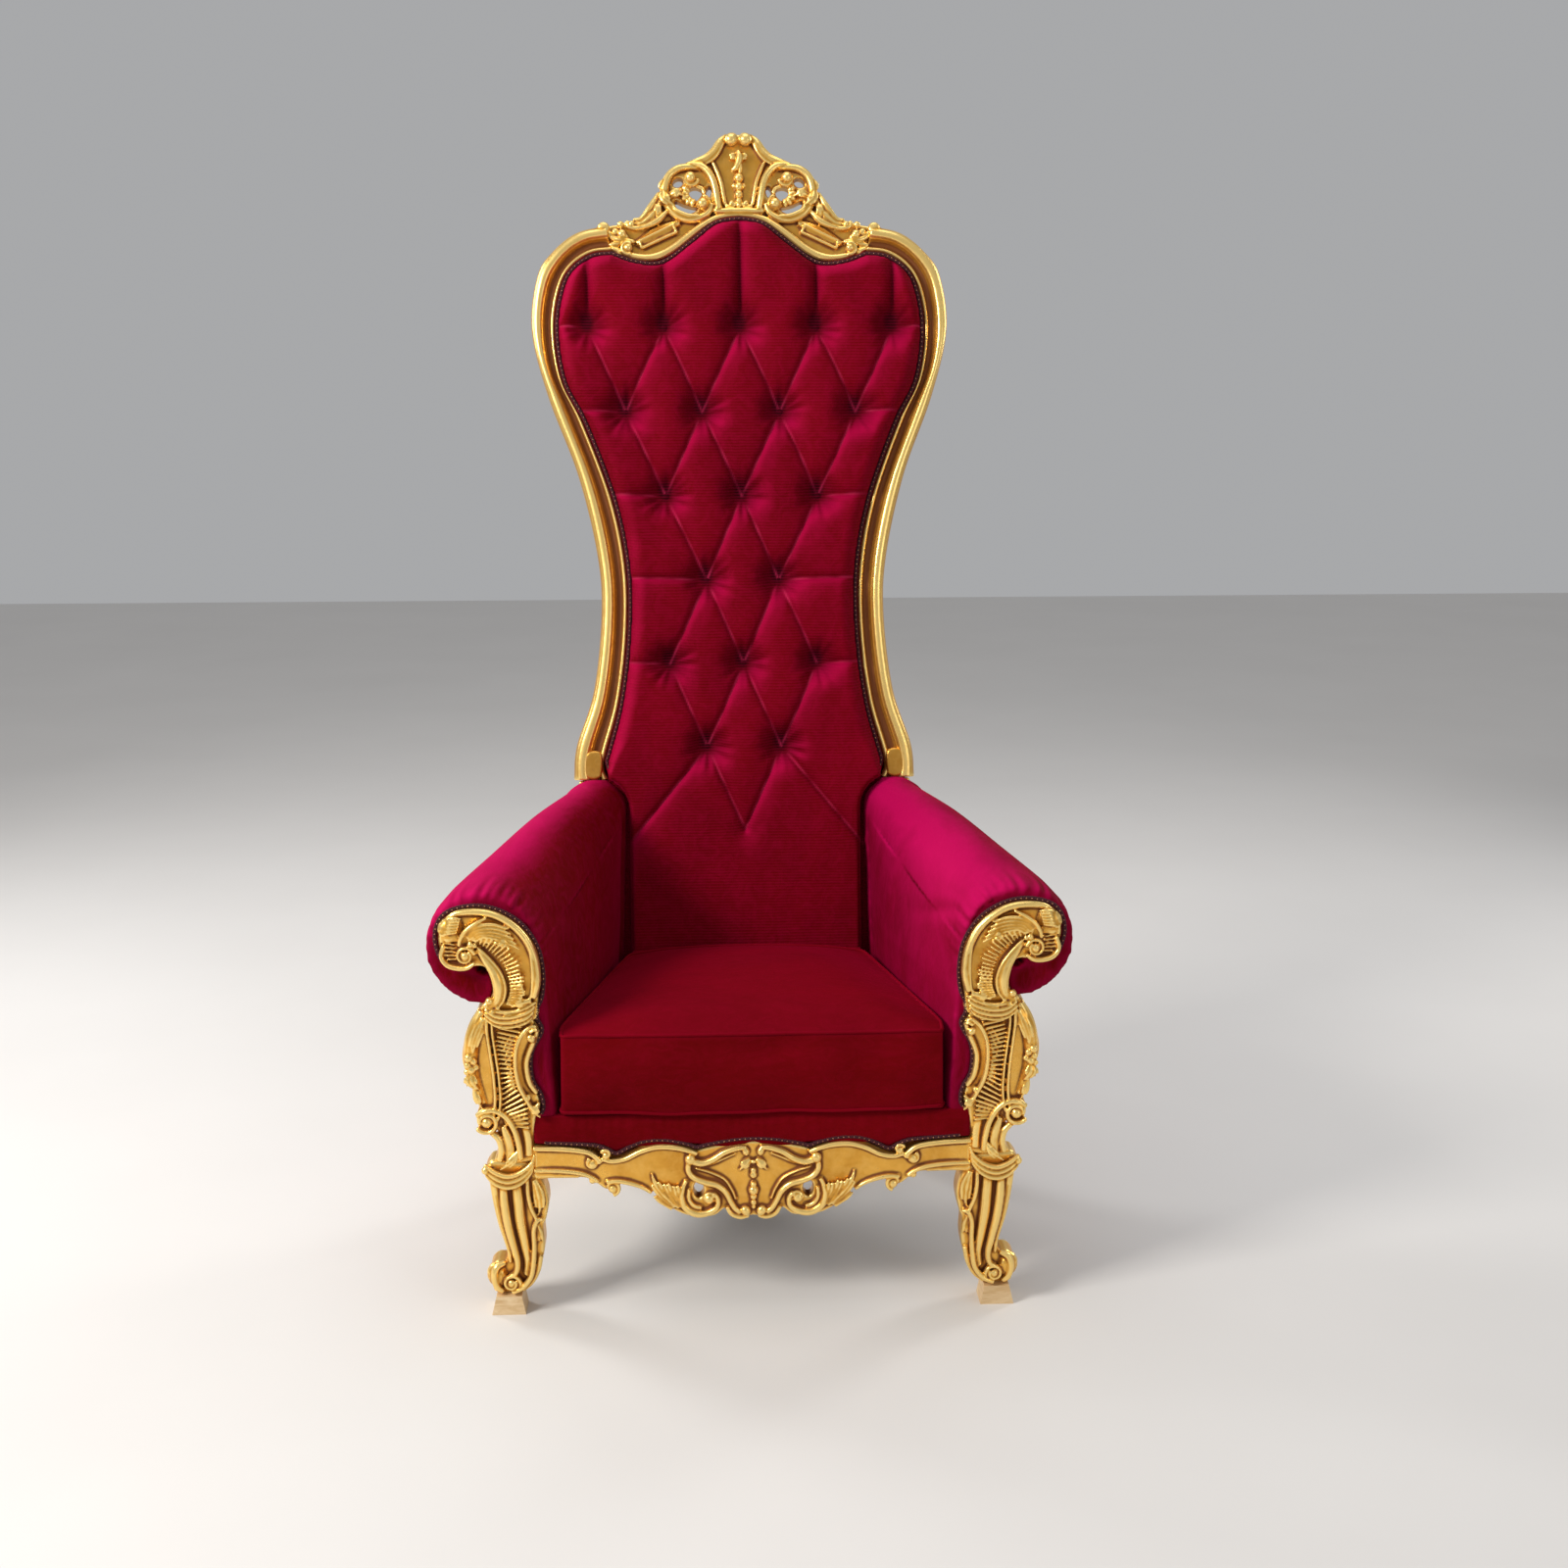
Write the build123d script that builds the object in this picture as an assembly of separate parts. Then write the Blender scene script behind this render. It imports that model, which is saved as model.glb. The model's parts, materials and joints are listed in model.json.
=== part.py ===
from build123d import *
from math import acos, atan, cos, sin, sqrt
import os

# High-back throne armchair: carved and gilded wooden show frame, tufted velvet back,
# rolled velvet arms and one loose seat cushion.
# Millimetres, +Z up. The origin is on the floor, at the middle of the chair's footprint box.
# The chair faces -Y. "left" and "right" are as seen from the front: left is -X.
# Every paired piece is drawn once on the +X side and mirrored.

# ---- driving dimensions: the whole chair ----
FRONT_Y = -389.0            # front plane of the feet, posts and arm scrolls
KNEE_PROUD = 5.0            # how far the leg's knee stands in front of that plane
BACK_ORIGIN_Y = 141.0       # front plane of the back frame, where it meets the arms
BACK_ORIGIN_Z = 800.0
BACK_SLOPE = 0.185          # how far the back leans for each millimetre of height
BACK_FRAME_T = 42.0         # thickness of the carved back frame
CREST_TOP_S = 1164.0        # top of the crest, measured up the slope of the back

# ---- legs, posts and scrolls ----
FOOT_H = 33.0
LEG_TOP_Z = 233.0
POST_TOP_Z = 520.0
POST_T = 50.0
FOOT_T = 46.0
LEG_BACK_Y = FRONT_Y + POST_T + 8.5

# ---- seat frame ----
RAIL_BOTTOM_Z = 236.0
RAIL_TOP_Z = 300.0
APRON_FRONT_Y = FRONT_Y + 10.0
APRON_T = 40.0
APRON_HALF_W = 362.0
CROSS_RAIL_T = 29.0
SIDE_RAIL_W = 32.0
SIDE_FRONT_X = 404.0        # outer face of the side rail at its front end
SIDE_BACK_X = 304.0         # and at its back end
BACK_LEG_FRONT_Y = 50.0
BACK_POST_IN_X = 262.0
BACK_POST_OUT_X = 306.0
BACK_POST_TOP_S = -16.0

# ---- upholstery ----
ARM_FRONT_Y = FRONT_Y + POST_T + 1.0
ARM_BOTTOM_Z = 304.0
ARM_ROLL_FRONT = (430.0, 630.0, 97.0)    # x, z and radius of the roll behind the scroll
ARM_ROLL_BACK = (272.0, 733.0, 58.0)     # x, z and radius of the roll at the back frame
ARM_INNER_FRONT_X = 312.0
ARM_INNER_BACK_X = 213.0
ARM_OUTER_FRONT_X = 402.0
ARM_OUTER_BACK_X = 306.0
DECK_BOTTOM_Z = 304.0
DECK_TOP_Z = 345.0
CUSHION_BOTTOM_Z = 345.5
CUSHION_H = 141.0
CUSHION_FRONT_Y = -381.0
CUSHION_FRONT_HALF = 313.0
CUSHION_BACK_HALF = 211.0
COVER_T = 3.0
PAD_PROUD = 25.0            # how far the tufted pad stands in front of the back frame
PAD_BACK_N = 34.0           # back face of the pad, behind the frame's front plane
PAD_STEP = 10.0             # width of the low margin that carries the gimp
BUTTON_R = 11.0
BUTTON_H = 8.0
BUTTON_DEPTH = 17.0
BUTTON_CLEAR = 2.0
GIMP_W = 6.0
GIMP_T = 2.5
FIT = 0.1                   # radial clearance of dowels and bolts in their holes

RAKE = atan(BACK_SLOPE)
BACK_PLANE = Plane(
    origin=(0, BACK_ORIGIN_Y, BACK_ORIGIN_Z),
    x_dir=(1, 0, 0),
    z_dir=(0, -cos(RAKE), sin(RAKE)),
)
TO_REAR = Vector(0, cos(RAKE), -sin(RAKE))
BIG = 3000.0


# ---- helpers ----
def block(x, y, z):
    """Box from three (low, high) pairs."""
    size = (x[1] - x[0], y[1] - y[0], z[1] - z[0])
    centre = ((x[0] + x[1]) / 2, (y[0] + y[1]) / 2, (z[0] + z[1]) / 2)
    return Pos(*centre) * Box(*size)


def outline(*runs):
    """Closed flat face from runs of points: a run of two is straight, a longer one is a smooth curve."""
    edges = []
    for run in runs:
        edges.append(Line(*run) if len(run) == 2 else Spline(*run))
    return make_face(edges)


def front_plate(face, y_front, thickness):
    """Plate whose (x, z) outline faces the front."""
    placed = Plane.XZ.offset(-y_front) * face
    return extrude(placed, amount=thickness, dir=(0, 1, 0))


def back_plate(face, n_front, thickness):
    """Plate whose (x, s) outline lies in the leaning back, from n_front behind its front plane."""
    placed = BACK_PLANE.offset(-n_front) * face
    return extrude(placed, amount=thickness, dir=tuple(TO_REAR))


def behind_back(n):
    """Everything more than n behind the front plane of the back frame."""
    half_space = Box(BIG, BIG, BIG, align=(Align.CENTER, Align.CENTER, Align.MAX))
    return BACK_PLANE.offset(-n).location * half_space


def on_back(x, s, n):
    """Point at x, at s up the slope, at n behind the front plane."""
    return BACK_PLANE.from_local_coords((x, s, -n))


def rod(start, end, radius):
    """Round bar between two points."""
    start, end = Vector(start), Vector(end)
    return Plane(origin=start, z_dir=end - start) * Cylinder(
        radius, (end - start).length, align=(Align.CENTER, Align.CENTER, Align.MIN)
    )


def mirrored(shape):
    return mirror(shape, about=Plane.YZ)


def single(shape):
    """The one solid of a shape."""
    solids = shape.solids()
    return max(solids, key=lambda solid: solid.volume)


def side_x(y, front_x, back_x):
    """Plan line of the chair's side, from the front posts to the back legs."""
    front_y = FRONT_Y + POST_T
    return front_x + (back_x - front_x) * (y - front_y) / (BACK_LEG_FRONT_Y - front_y)


nodes = {}


def pair(name, shape):
    """The right-hand piece and its mirror image."""
    nodes["right_" + name] = shape
    nodes["left_" + name] = mirrored(shape)


# ---- dowels and bolts, whose holes are cut from the pieces they join ----
DOWEL_R = 8.0
DOWEL_X = 390.0
DOWEL_Y = FRONT_Y + 26.0
DOWEL_HALF = 28.0
BOLT_R = 4.0
HANGER_R = 5.0
HANGER_X = 288.0
HANGER_N = 21.0


def dowel(z, extra=0.0):
    """Upright dowel centred at a joint of the front post."""
    half = DOWEL_HALF + extra
    return rod((DOWEL_X, DOWEL_Y, z - half), (DOWEL_X, DOWEL_Y, z + half), DOWEL_R + extra)


def hanger_bolt(extra=0.0):
    """Bolt that ties the back frame to the back post."""
    low = on_back(HANGER_X, BACK_POST_TOP_S - 45 - extra, HANGER_N)
    high = on_back(HANGER_X, BACK_POST_TOP_S + 45 + extra, HANGER_N)
    return rod(low, high, HANGER_R + extra)


def corner_bolt(front, extra=0.0):
    """Bolt through a corner block into the leg beside it."""
    z = (RAIL_BOTTOM_Z + RAIL_TOP_Z) / 2
    if front:
        start, end = (322.0, -278.0, z), (376.0, -346.0, z)
    else:
        start, end = (243.0, 22.0, z), (278.0, 74.0, z)
    direction = (Vector(end) - Vector(start)).normalized()
    shank = rod(Vector(start), Vector(end) + direction * extra, BOLT_R + extra)
    head = rod(Vector(start) - direction * 5, Vector(start), 8.0 + extra)
    return shank + head


# ---- front legs and foot blocks ----
def front_leg():
    """Short cabriole leg with a scrolled foot."""
    front_view = outline(
        [(432, LEG_TOP_Z), (425, 190), (411, 145), (405, 108), (410, 88)],
        [(410, 88), (430, 84), (438, 66), (434, 44), (427, FOOT_H)],
        [(427, FOOT_H), (384, FOOT_H)],
        [(384, FOOT_H), (352, 77), (345, 116), (342, 165), (338, 200), (342, LEG_TOP_Z)],
        [(342, LEG_TOP_Z), (432, LEG_TOP_Z)],
    )
    slab = front_plate(front_view, FRONT_Y - KNEE_PROUD, POST_T + 15)
    knee_y = FRONT_Y - KNEE_PROUD
    top_y = FRONT_Y + 2
    toe_y = FRONT_Y + 4
    heel_y = FRONT_Y + FOOT_T
    rear_y = LEG_BACK_Y - 0.5
    side_view = outline(
        [(top_y, LEG_TOP_Z), (knee_y, 195), (FRONT_Y + 9, 118), (FRONT_Y + 2, 62), (toe_y, FOOT_H)],
        [(toe_y, FOOT_H), (heel_y, FOOT_H)],
        [(heel_y, FOOT_H), (FRONT_Y + 42, 100), (FRONT_Y + 54, 175), (rear_y, LEG_TOP_Z)],
        [(rear_y, LEG_TOP_Z), (top_y, LEG_TOP_Z)],
    )
    profile = extrude(Plane.YZ.offset(300) * side_view, amount=200, dir=(1, 0, 0))
    return slab & profile


def foot_block():
    """Plain wooden pad under the scrolled foot, a little narrower at the top."""
    pad = outline(
        [(378, 0), (434, 0)],
        [(434, 0), (426, FOOT_H)],
        [(426, FOOT_H), (384, FOOT_H)],
        [(384, FOOT_H), (378, 0)],
    )
    return front_plate(pad, FRONT_Y, FOOT_T)


# ---- front posts and arm scrolls ----
def arm_post():
    """Bowed post between the leg and the arm scroll."""
    face = outline(
        [(362, LEG_TOP_Z), (360, 290), (347, 352), (357, 410), (359, 450), (343, 495), (349, POST_TOP_Z)],
        [(349, POST_TOP_Z), (433, POST_TOP_Z)],
        [(433, POST_TOP_Z), (458, 492), (466, 445), (449, 382)],
        [(449, 382), (447, 345), (428, 323), (411, 292)],
        [(411, 292), (432, 270), (436, LEG_TOP_Z)],
        [(436, LEG_TOP_Z), (362, LEG_TOP_Z)],
    )
    return front_plate(face, FRONT_Y, POST_T)


def arm_scroll():
    """Hooked scroll that caps the front of the rolled arm."""
    face = outline(
        [(349, POST_TOP_Z), (337, 580), (343, 629), (376, 676), (438, 699), (484, 682), (496, 647)],
        [(496, 647), (488, 618), (470, 604), (450, 602)],
        [(450, 602), (424, 600), (411, 574), (418, 552), (433, POST_TOP_Z)],
        [(433, POST_TOP_Z), (349, POST_TOP_Z)],
    )
    return front_plate(face, FRONT_Y - 2, POST_T)


joints_of_post = [LEG_TOP_Z, POST_TOP_Z]
dowel_holes = [dowel(z, FIT) for z in joints_of_post]
leg = front_leg() - dowel_holes[0]
post = arm_post() - dowel_holes[0] - dowel_holes[1]
post = post - corner_bolt(True, FIT)
scroll = arm_scroll() - dowel_holes[1]
pair("front_leg", single(leg))
pair("foot_block", foot_block())
pair("arm_post", single(post))
pair("arm_scroll", single(scroll))
post_dowels = [dowel(z) for z in joints_of_post]
nodes["post_dowels"] = Compound(post_dowels + [mirrored(d) for d in post_dowels])


# ---- carved front apron ----
def apron():
    """Shaped front rail with a deep centre cartouche and two small pierced eyes."""
    half = outline(
        [(0, 297), (45, 286), (98, 293), (150, 290), (204, 288), (222, 277)],
        [(222, 277), (242, 292), (300, 299), (APRON_HALF_W, 302)],
        [(APRON_HALF_W, 302), (APRON_HALF_W, RAIL_BOTTOM_Z)],
        [(APRON_HALF_W, RAIL_BOTTOM_Z), (300, 234), (262, 229), (238, 212)],
        [(238, 212), (200, 221), (160, 202), (126, 176), (95, 167)],
        [(95, 167), (60, 172), (32, 164), (0, 168)],
        [(0, 168), (0, 297)],
    )
    eye = Pos(90, 211) * Ellipse(8, 15)
    right_half = front_plate(half - eye, APRON_FRONT_Y, APRON_T)
    return right_half + mirrored(right_half)


apron_body = apron()
for neighbour in ("right_arm_post", "left_arm_post", "right_front_leg", "left_front_leg"):
    apron_body = apron_body - nodes[neighbour]
nodes["front_apron"] = single(apron_body)


# ---- plain rails of the seat frame ----
def plan_prism(points, z_low, z_high):
    """Upright prism from plan corners."""
    plan = Pos(0, 0, z_low) * make_face(Polyline(*points, close=True))
    return extrude(plan, amount=z_high - z_low, dir=(0, 0, 1))


CROSS_FRONT_Y = FRONT_Y + POST_T
cross_back_y = CROSS_FRONT_Y + CROSS_RAIL_T


def rail_inner(y):
    return side_x(y, SIDE_FRONT_X - SIDE_RAIL_W, SIDE_BACK_X - SIDE_RAIL_W)


def rail_outer(y):
    return side_x(y, SIDE_FRONT_X, SIDE_BACK_X)


side_rail_plan = [
    (rail_inner(LEG_BACK_Y), LEG_BACK_Y),
    (rail_outer(LEG_BACK_Y), LEG_BACK_Y),
    (rail_outer(BACK_LEG_FRONT_Y), BACK_LEG_FRONT_Y),
    (rail_inner(BACK_LEG_FRONT_Y), BACK_LEG_FRONT_Y),
]
side_rail = plan_prism(side_rail_plan, RAIL_BOTTOM_Z, RAIL_TOP_Z)
cross_rail_plan = [
    (-rail_inner(CROSS_FRONT_Y) + 1, CROSS_FRONT_Y),
    (rail_inner(CROSS_FRONT_Y) - 1, CROSS_FRONT_Y),
    (rail_inner(cross_back_y), cross_back_y),
    (-rail_inner(cross_back_y), cross_back_y),
]
cross_rail = plan_prism(cross_rail_plan, RAIL_BOTTOM_Z, RAIL_TOP_Z)


# ---- back legs, which run up inside the back ----
def back_leg():
    """Sabre leg below the seat and a leaning post above it, in one piece."""
    top_front = on_back(0, BACK_POST_TOP_S, 1.0)
    top_rear = on_back(0, BACK_POST_TOP_S, BACK_FRAME_T - 1.0)
    seat_front = (BACK_LEG_FRONT_Y, RAIL_TOP_Z)
    seat_rear = (on_back(0, -509, BACK_FRAME_T - 1.0).Y, 292.0)
    side_view = outline(
        [(top_front.Y, top_front.Z), seat_front],
        [seat_front, (BACK_LEG_FRONT_Y, RAIL_BOTTOM_Z)],
        [(BACK_LEG_FRONT_Y, RAIL_BOTTOM_Z), (84, 150), (152, 62), (226, 0)],
        [(226, 0), (274, 0)],
        [(274, 0), (196, 84), (132, 178), (99, 250), seat_rear],
        [seat_rear, (top_rear.Y, top_rear.Z)],
        [(top_rear.Y, top_rear.Z), (top_front.Y, top_front.Z)],
    )
    width = BACK_POST_OUT_X - BACK_POST_IN_X
    return extrude(Plane.YZ.offset(BACK_POST_IN_X) * side_view, amount=width, dir=(1, 0, 0))


back_rail = block((-BACK_POST_IN_X, BACK_POST_IN_X), (BACK_LEG_FRONT_Y, 88), (RAIL_BOTTOM_Z, RAIL_TOP_Z))
back_rail = back_rail - corner_bolt(False, FIT) - mirrored(corner_bolt(False, FIT))
leg_back = back_leg() - corner_bolt(False, FIT) - hanger_bolt(FIT)
side_rail_cut = side_rail - corner_bolt(True, FIT) - corner_bolt(False, FIT)
cross_rail_cut = cross_rail - corner_bolt(True, FIT) - mirrored(corner_bolt(True, FIT))
pair("back_leg", single(leg_back))
pair("side_rail", single(side_rail_cut))
nodes["front_cross_rail"] = single(cross_rail_cut)
nodes["back_seat_rail"] = single(back_rail)

BLOCK_Z = (246.0, 290.0)
front_block = plan_prism(
    [
        (rail_inner(cross_back_y), cross_back_y),
        (rail_inner(cross_back_y + 75), cross_back_y + 75),
        (rail_inner(cross_back_y) - 85, cross_back_y),
    ],
    *BLOCK_Z,
)
rear_block = plan_prism(
    [
        (rail_inner(BACK_LEG_FRONT_Y), BACK_LEG_FRONT_Y),
        (rail_inner(BACK_LEG_FRONT_Y) - 62, BACK_LEG_FRONT_Y),
        (rail_inner(BACK_LEG_FRONT_Y - 70), BACK_LEG_FRONT_Y - 70),
    ],
    *BLOCK_Z,
)
blocks = [single(front_block - corner_bolt(True, FIT)), single(rear_block - corner_bolt(False, FIT))]
nodes["corner_blocks"] = Compound(blocks + [mirrored(b) for b in blocks])
bolts = [single(corner_bolt(True)), single(corner_bolt(False))]
nodes["corner_bolts"] = Compound(bolts + [mirrored(b) for b in bolts])
nodes["hanger_bolts"] = Compound([hanger_bolt(), mirrored(hanger_bolt())])

# ---- carved back frame ----
# Half outline of the velvet opening, as (x, s) points up the slope of the back.
OPENING_SIDE = [
    (258, 20), (229, 129), (213, 260), (214, 380), (237, 500),
    (286, 635), (325, 715), (338, 810), (326, 885),
]
OPENING_EAR = [(326, 885), (305, 922), (270, 945), (232, 950)]
OPENING_TOP = [(232, 950), (190, 935), (142, 934), (90, 970), (45, 1004), (0, 1013)]
OUTER_SIDE = [
    (318, 10), (310, 48), (277, 150), (261, 290), (267, 400),
    (300, 545), (353, 690), (381, 810), (369, 908),
]
OUTER_EAR = [(369, 908), (340, 952), (297, 985), (244, 998)]
SPLIT_INNER = (232, 950)
SPLIT_OUTER = (244, 998)


def shifted(points, amount):
    """Points of the opening's half outline moved inwards: sides by x, the top by s."""
    moved = []
    for x, s in points:
        moved.append((x - amount * min(1.0, x / 200.0), s - amount * (1.0 if s > 930 else 0.0)))
    return moved


def back_stile():
    """Plain moulded stile from the arm to the carved shoulder."""
    face = outline(
        OUTER_SIDE,
        OUTER_EAR,
        [SPLIT_OUTER, SPLIT_INNER],
        list(reversed(OPENING_EAR)),
        list(reversed(OPENING_SIDE)),
        [(258, 20), (252, -14)],
        [(252, -14), (316, -14)],
        [(316, -14), (318, 10)],
    )
    return back_plate(face, 0, BACK_FRAME_T)


def crest():
    """Pierced cartouche crest with sloping carved shoulders."""
    half = outline(
        OPENING_TOP,
        [(0, 1013), (0, CREST_TOP_S)],
        [(0, CREST_TOP_S), (28, CREST_TOP_S)],
        [(28, CREST_TOP_S), (45, 1138), (76, 1114)],
        [(76, 1114), (118, 1100), (143, 1066), (152, 1030), (190, 1000), SPLIT_OUTER],
        [SPLIT_OUTER, SPLIT_INNER],
    )
    for x, s, rx, rs in ((79, 1055, 13, 11), (108, 1074, 8, 7), (96, 1029, 24, 7)):
        half = half - Pos(x, s) * Ellipse(rx, rs)
    right_half = back_plate(half, 0, BACK_FRAME_T)
    return right_half + mirrored(right_half)


pair("back_stile", single(back_stile() - hanger_bolt(FIT)))
nodes["crest_rail"] = single(crest())
BOSS_R = 18.0
BOSS_T = 6.0
BOSS = (276.0, 13.0)
boss = rod(on_back(*BOSS, -BOSS_T), on_back(*BOSS, 0), BOSS_R)
nodes["stile_bosses"] = Compound([boss, mirrored(boss)])


def upright_rectangle(half_width, s_low, s_high):
    """Rectangle across the back, centred on the chair."""
    low = [(-half_width, s_low), (half_width, s_low)]
    high = [(half_width, s_high), (-half_width, s_high)]
    return make_face(Polyline(*low, *high, close=True))


def cross_bar(s_low, s_high):
    """Plain bar between the back posts."""
    face = upright_rectangle(BACK_POST_IN_X, s_low, s_high)
    return back_plate(face, PAD_BACK_N + 1.5, BACK_FRAME_T - PAD_BACK_N - 2.5)


nodes["back_lower_rail"] = cross_bar(-300, -245)
nodes["back_middle_rail"] = cross_bar(-75, -18)

# ---- tufted back ----
PAD_BOTTOM_S = -487.0
ARM_TOP_S = -12.0
PAD_LOW_HALF = 211.0
BUTTON_PITCH_S = 153.0
BUTTON_TOP_S = 811.0
BUTTON_ROWS = [
    (0, [0, 139, 278]),
    (1, [71, 210]),
    (2, [0, 139]),
    (3, [66]),
    (4, [0, 135]),
    (5, [68]),
]


def pad_face(inset):
    """Face that fills the opening, less an inset, and runs down between the arms."""
    side = shifted(OPENING_SIDE, inset)
    ear = shifted(OPENING_EAR, inset)
    top = shifted(OPENING_TOP, inset)
    ear[0] = side[-1]
    top[0] = ear[-1]
    top[-1] = (0, top[-1][1])
    half = outline(
        [(0, PAD_BOTTOM_S), (PAD_LOW_HALF, PAD_BOTTOM_S)],
        [(PAD_LOW_HALF, PAD_BOTTOM_S), (PAD_LOW_HALF, ARM_TOP_S)],
        [(PAD_LOW_HALF, ARM_TOP_S), side[0]],
        side,
        ear,
        top,
        [top[-1], (0, PAD_BOTTOM_S)],
    )
    return half


def both_halves(half):
    return half + mirrored(half)


def button_spots():
    """Places of all the buttons as (x, s)."""
    spots = []
    for row, places in BUTTON_ROWS:
        s = BUTTON_TOP_S - BUTTON_PITCH_S * row
        for x in places:
            spots.append((x, s))
            if x:
                spots.append((-x, s))
    return spots


pad_base = both_halves(back_plate(pad_face(0.5), -1.0, PAD_BACK_N + 1.0))
pad_crown = both_halves(back_plate(pad_face(PAD_STEP), -PAD_PROUD, PAD_PROUD - 1.0))
pad = pad_base + pad_crown
pocket_floor = -PAD_PROUD + BUTTON_DEPTH
buttons = []
for x, s in button_spots():
    pad = pad - rod(on_back(x, s, -PAD_PROUD - 1), on_back(x, s, pocket_floor), BUTTON_R + BUTTON_CLEAR)
    buttons.append(rod(on_back(x, s, pocket_floor - BUTTON_H), on_back(x, s, pocket_floor), BUTTON_R))
nodes["back_pad"] = single(pad)
nodes["back_buttons"] = Compound(buttons)


def opening_band(inset_outer, inset_inner):
    """Narrow band that follows the side, ear and top of the opening."""
    runs = (OPENING_SIDE, OPENING_EAR, OPENING_TOP)
    outer_runs = [shifted(run, inset_outer) for run in runs]
    inner_runs = [shifted(run, inset_inner) for run in runs]
    inner_runs = [list(reversed(run)) for run in reversed(inner_runs)]
    return outline(
        *outer_runs,
        [outer_runs[-1][-1], inner_runs[0][0]],
        *inner_runs,
        [inner_runs[-1][-1], outer_runs[0][0]],
    )


back_gimp = back_plate(opening_band(1.5, 1.5 + GIMP_W), -1.0 - GIMP_T, GIMP_T)
nodes["back_gimp"] = single(back_gimp + mirrored(back_gimp))

# Jute straps behind the tufted pad, tacked to the stiles and to the hidden bars.
STRAP_W = 50.0
STRAP_T = 1.2
strap_n = PAD_BACK_N + 0.1
back_straps = []
for s, half in ((120, 228), (300, 211), (480, 230), (640, 285), (800, 334)):
    body = back_plate(upright_rectangle(half, s - STRAP_W / 2, s + STRAP_W / 2), strap_n, STRAP_T)
    for stile in ("right_back_stile", "left_back_stile"):
        body = body - nodes[stile]
    back_straps.append(single(body))
nodes["back_webbing"] = Compound(back_straps)


def outside_back():
    """Velvet panel that closes the back of the chair."""
    side = shifted(OPENING_SIDE, -8)
    ear = shifted(OPENING_EAR, -8)
    top = shifted(OPENING_TOP, -8)
    half = outline(
        [(0, PAD_BOTTOM_S - 20), (BACK_POST_OUT_X, PAD_BOTTOM_S - 20)],
        [(BACK_POST_OUT_X, PAD_BOTTOM_S - 20), (BACK_POST_OUT_X, ARM_TOP_S - 6)],
        [(BACK_POST_OUT_X, ARM_TOP_S - 6), side[0]],
        side,
        ear,
        top,
        [top[-1], (0, PAD_BOTTOM_S - 20)],
    )
    return both_halves(back_plate(half, BACK_FRAME_T, 4.0))


nodes["outside_back"] = single(outside_back())

# ---- rolled arms ----
ARM_END_Y = 230.0


def arm_section(y, inner_x, outer_x, roll):
    """Section of the arm: upright wall with a round roll on top that hooks outwards."""
    roll_x, roll_z, radius = roll
    tip = (roll_x - radius, roll_z)
    hook_z = roll_z - sqrt(radius ** 2 - (outer_x - roll_x) ** 2)
    wall = (outer_x, hook_z)
    under = acos((outer_x - roll_x) / radius) / 2
    face = make_face(
        [
            Line((inner_x, ARM_BOTTOM_Z), tip),
            ThreePointArc(tip, (roll_x, roll_z + radius), (roll_x + radius, roll_z)),
            ThreePointArc(
                (roll_x + radius, roll_z),
                (roll_x + radius * cos(under), roll_z - radius * sin(under)),
                wall,
            ),
            Line(wall, (outer_x, ARM_BOTTOM_Z)),
            Line((outer_x, ARM_BOTTOM_Z), (inner_x, ARM_BOTTOM_Z)),
        ]
    )
    return Plane.XZ.offset(-y) * face


def at_end(front, back):
    """Value on the straight line of the arm, carried on to the arm's cutting length."""
    share = (ARM_END_Y - ARM_FRONT_Y) / (BACK_ORIGIN_Y - ARM_FRONT_Y)
    return front + (back - front) * share


end_roll = tuple(at_end(f, b) for f, b in zip(ARM_ROLL_FRONT, ARM_ROLL_BACK))
arm_loft = loft(
    [
        arm_section(ARM_FRONT_Y, ARM_INNER_FRONT_X, ARM_OUTER_FRONT_X, ARM_ROLL_FRONT),
        arm_section(
            ARM_END_Y,
            at_end(ARM_INNER_FRONT_X, ARM_INNER_BACK_X),
            at_end(ARM_OUTER_FRONT_X, ARM_OUTER_BACK_X),
            end_roll,
        ),
    ],
    ruled=True,
)


def tapered_bar(front, back, y_front, y_back):
    """Bar whose rectangular section moves evenly from front (x0, x1, z0, z1) to back."""
    faces = []
    for (x0, x1, z0, z1), y in ((front, y_front), (back, y_back)):
        section = make_face(Polyline((x0, z0), (x1, z0), (x1, z1), (x0, z1), close=True))
        faces.append(Plane.XZ.offset(-y) * section)
    return loft(faces, ruled=True)


def grown(box, amount):
    x0, x1, z0, z1 = box
    return (x0 - amount, x1 + amount, z0 - amount, z1 + amount)


ARM_RAIL_FRONT = (400.0, 440.0, 585.0, 655.0)
ARM_RAIL_BACK = (255.0, 285.0, 690.0, 745.0)
arm_rail = tapered_bar(ARM_RAIL_FRONT, ARM_RAIL_BACK, ARM_FRONT_Y, BACK_ORIGIN_Y) - behind_back(0)
rail_hole_ends = (grown(ARM_RAIL_FRONT, FIT), grown(ARM_RAIL_BACK, FIT))
arm_rail_hole = tapered_bar(*rail_hole_ends, ARM_FRONT_Y, BACK_ORIGIN_Y)
arm_pad = arm_loft - behind_back(0) - arm_rail_hole
pair("arm_rail", single(arm_rail))
pair("arm_pad", single(arm_pad))


def hook_height(x_wall, roll):
    return roll[1] - sqrt(roll[2] ** 2 - (x_wall - roll[0]) ** 2)


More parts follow.
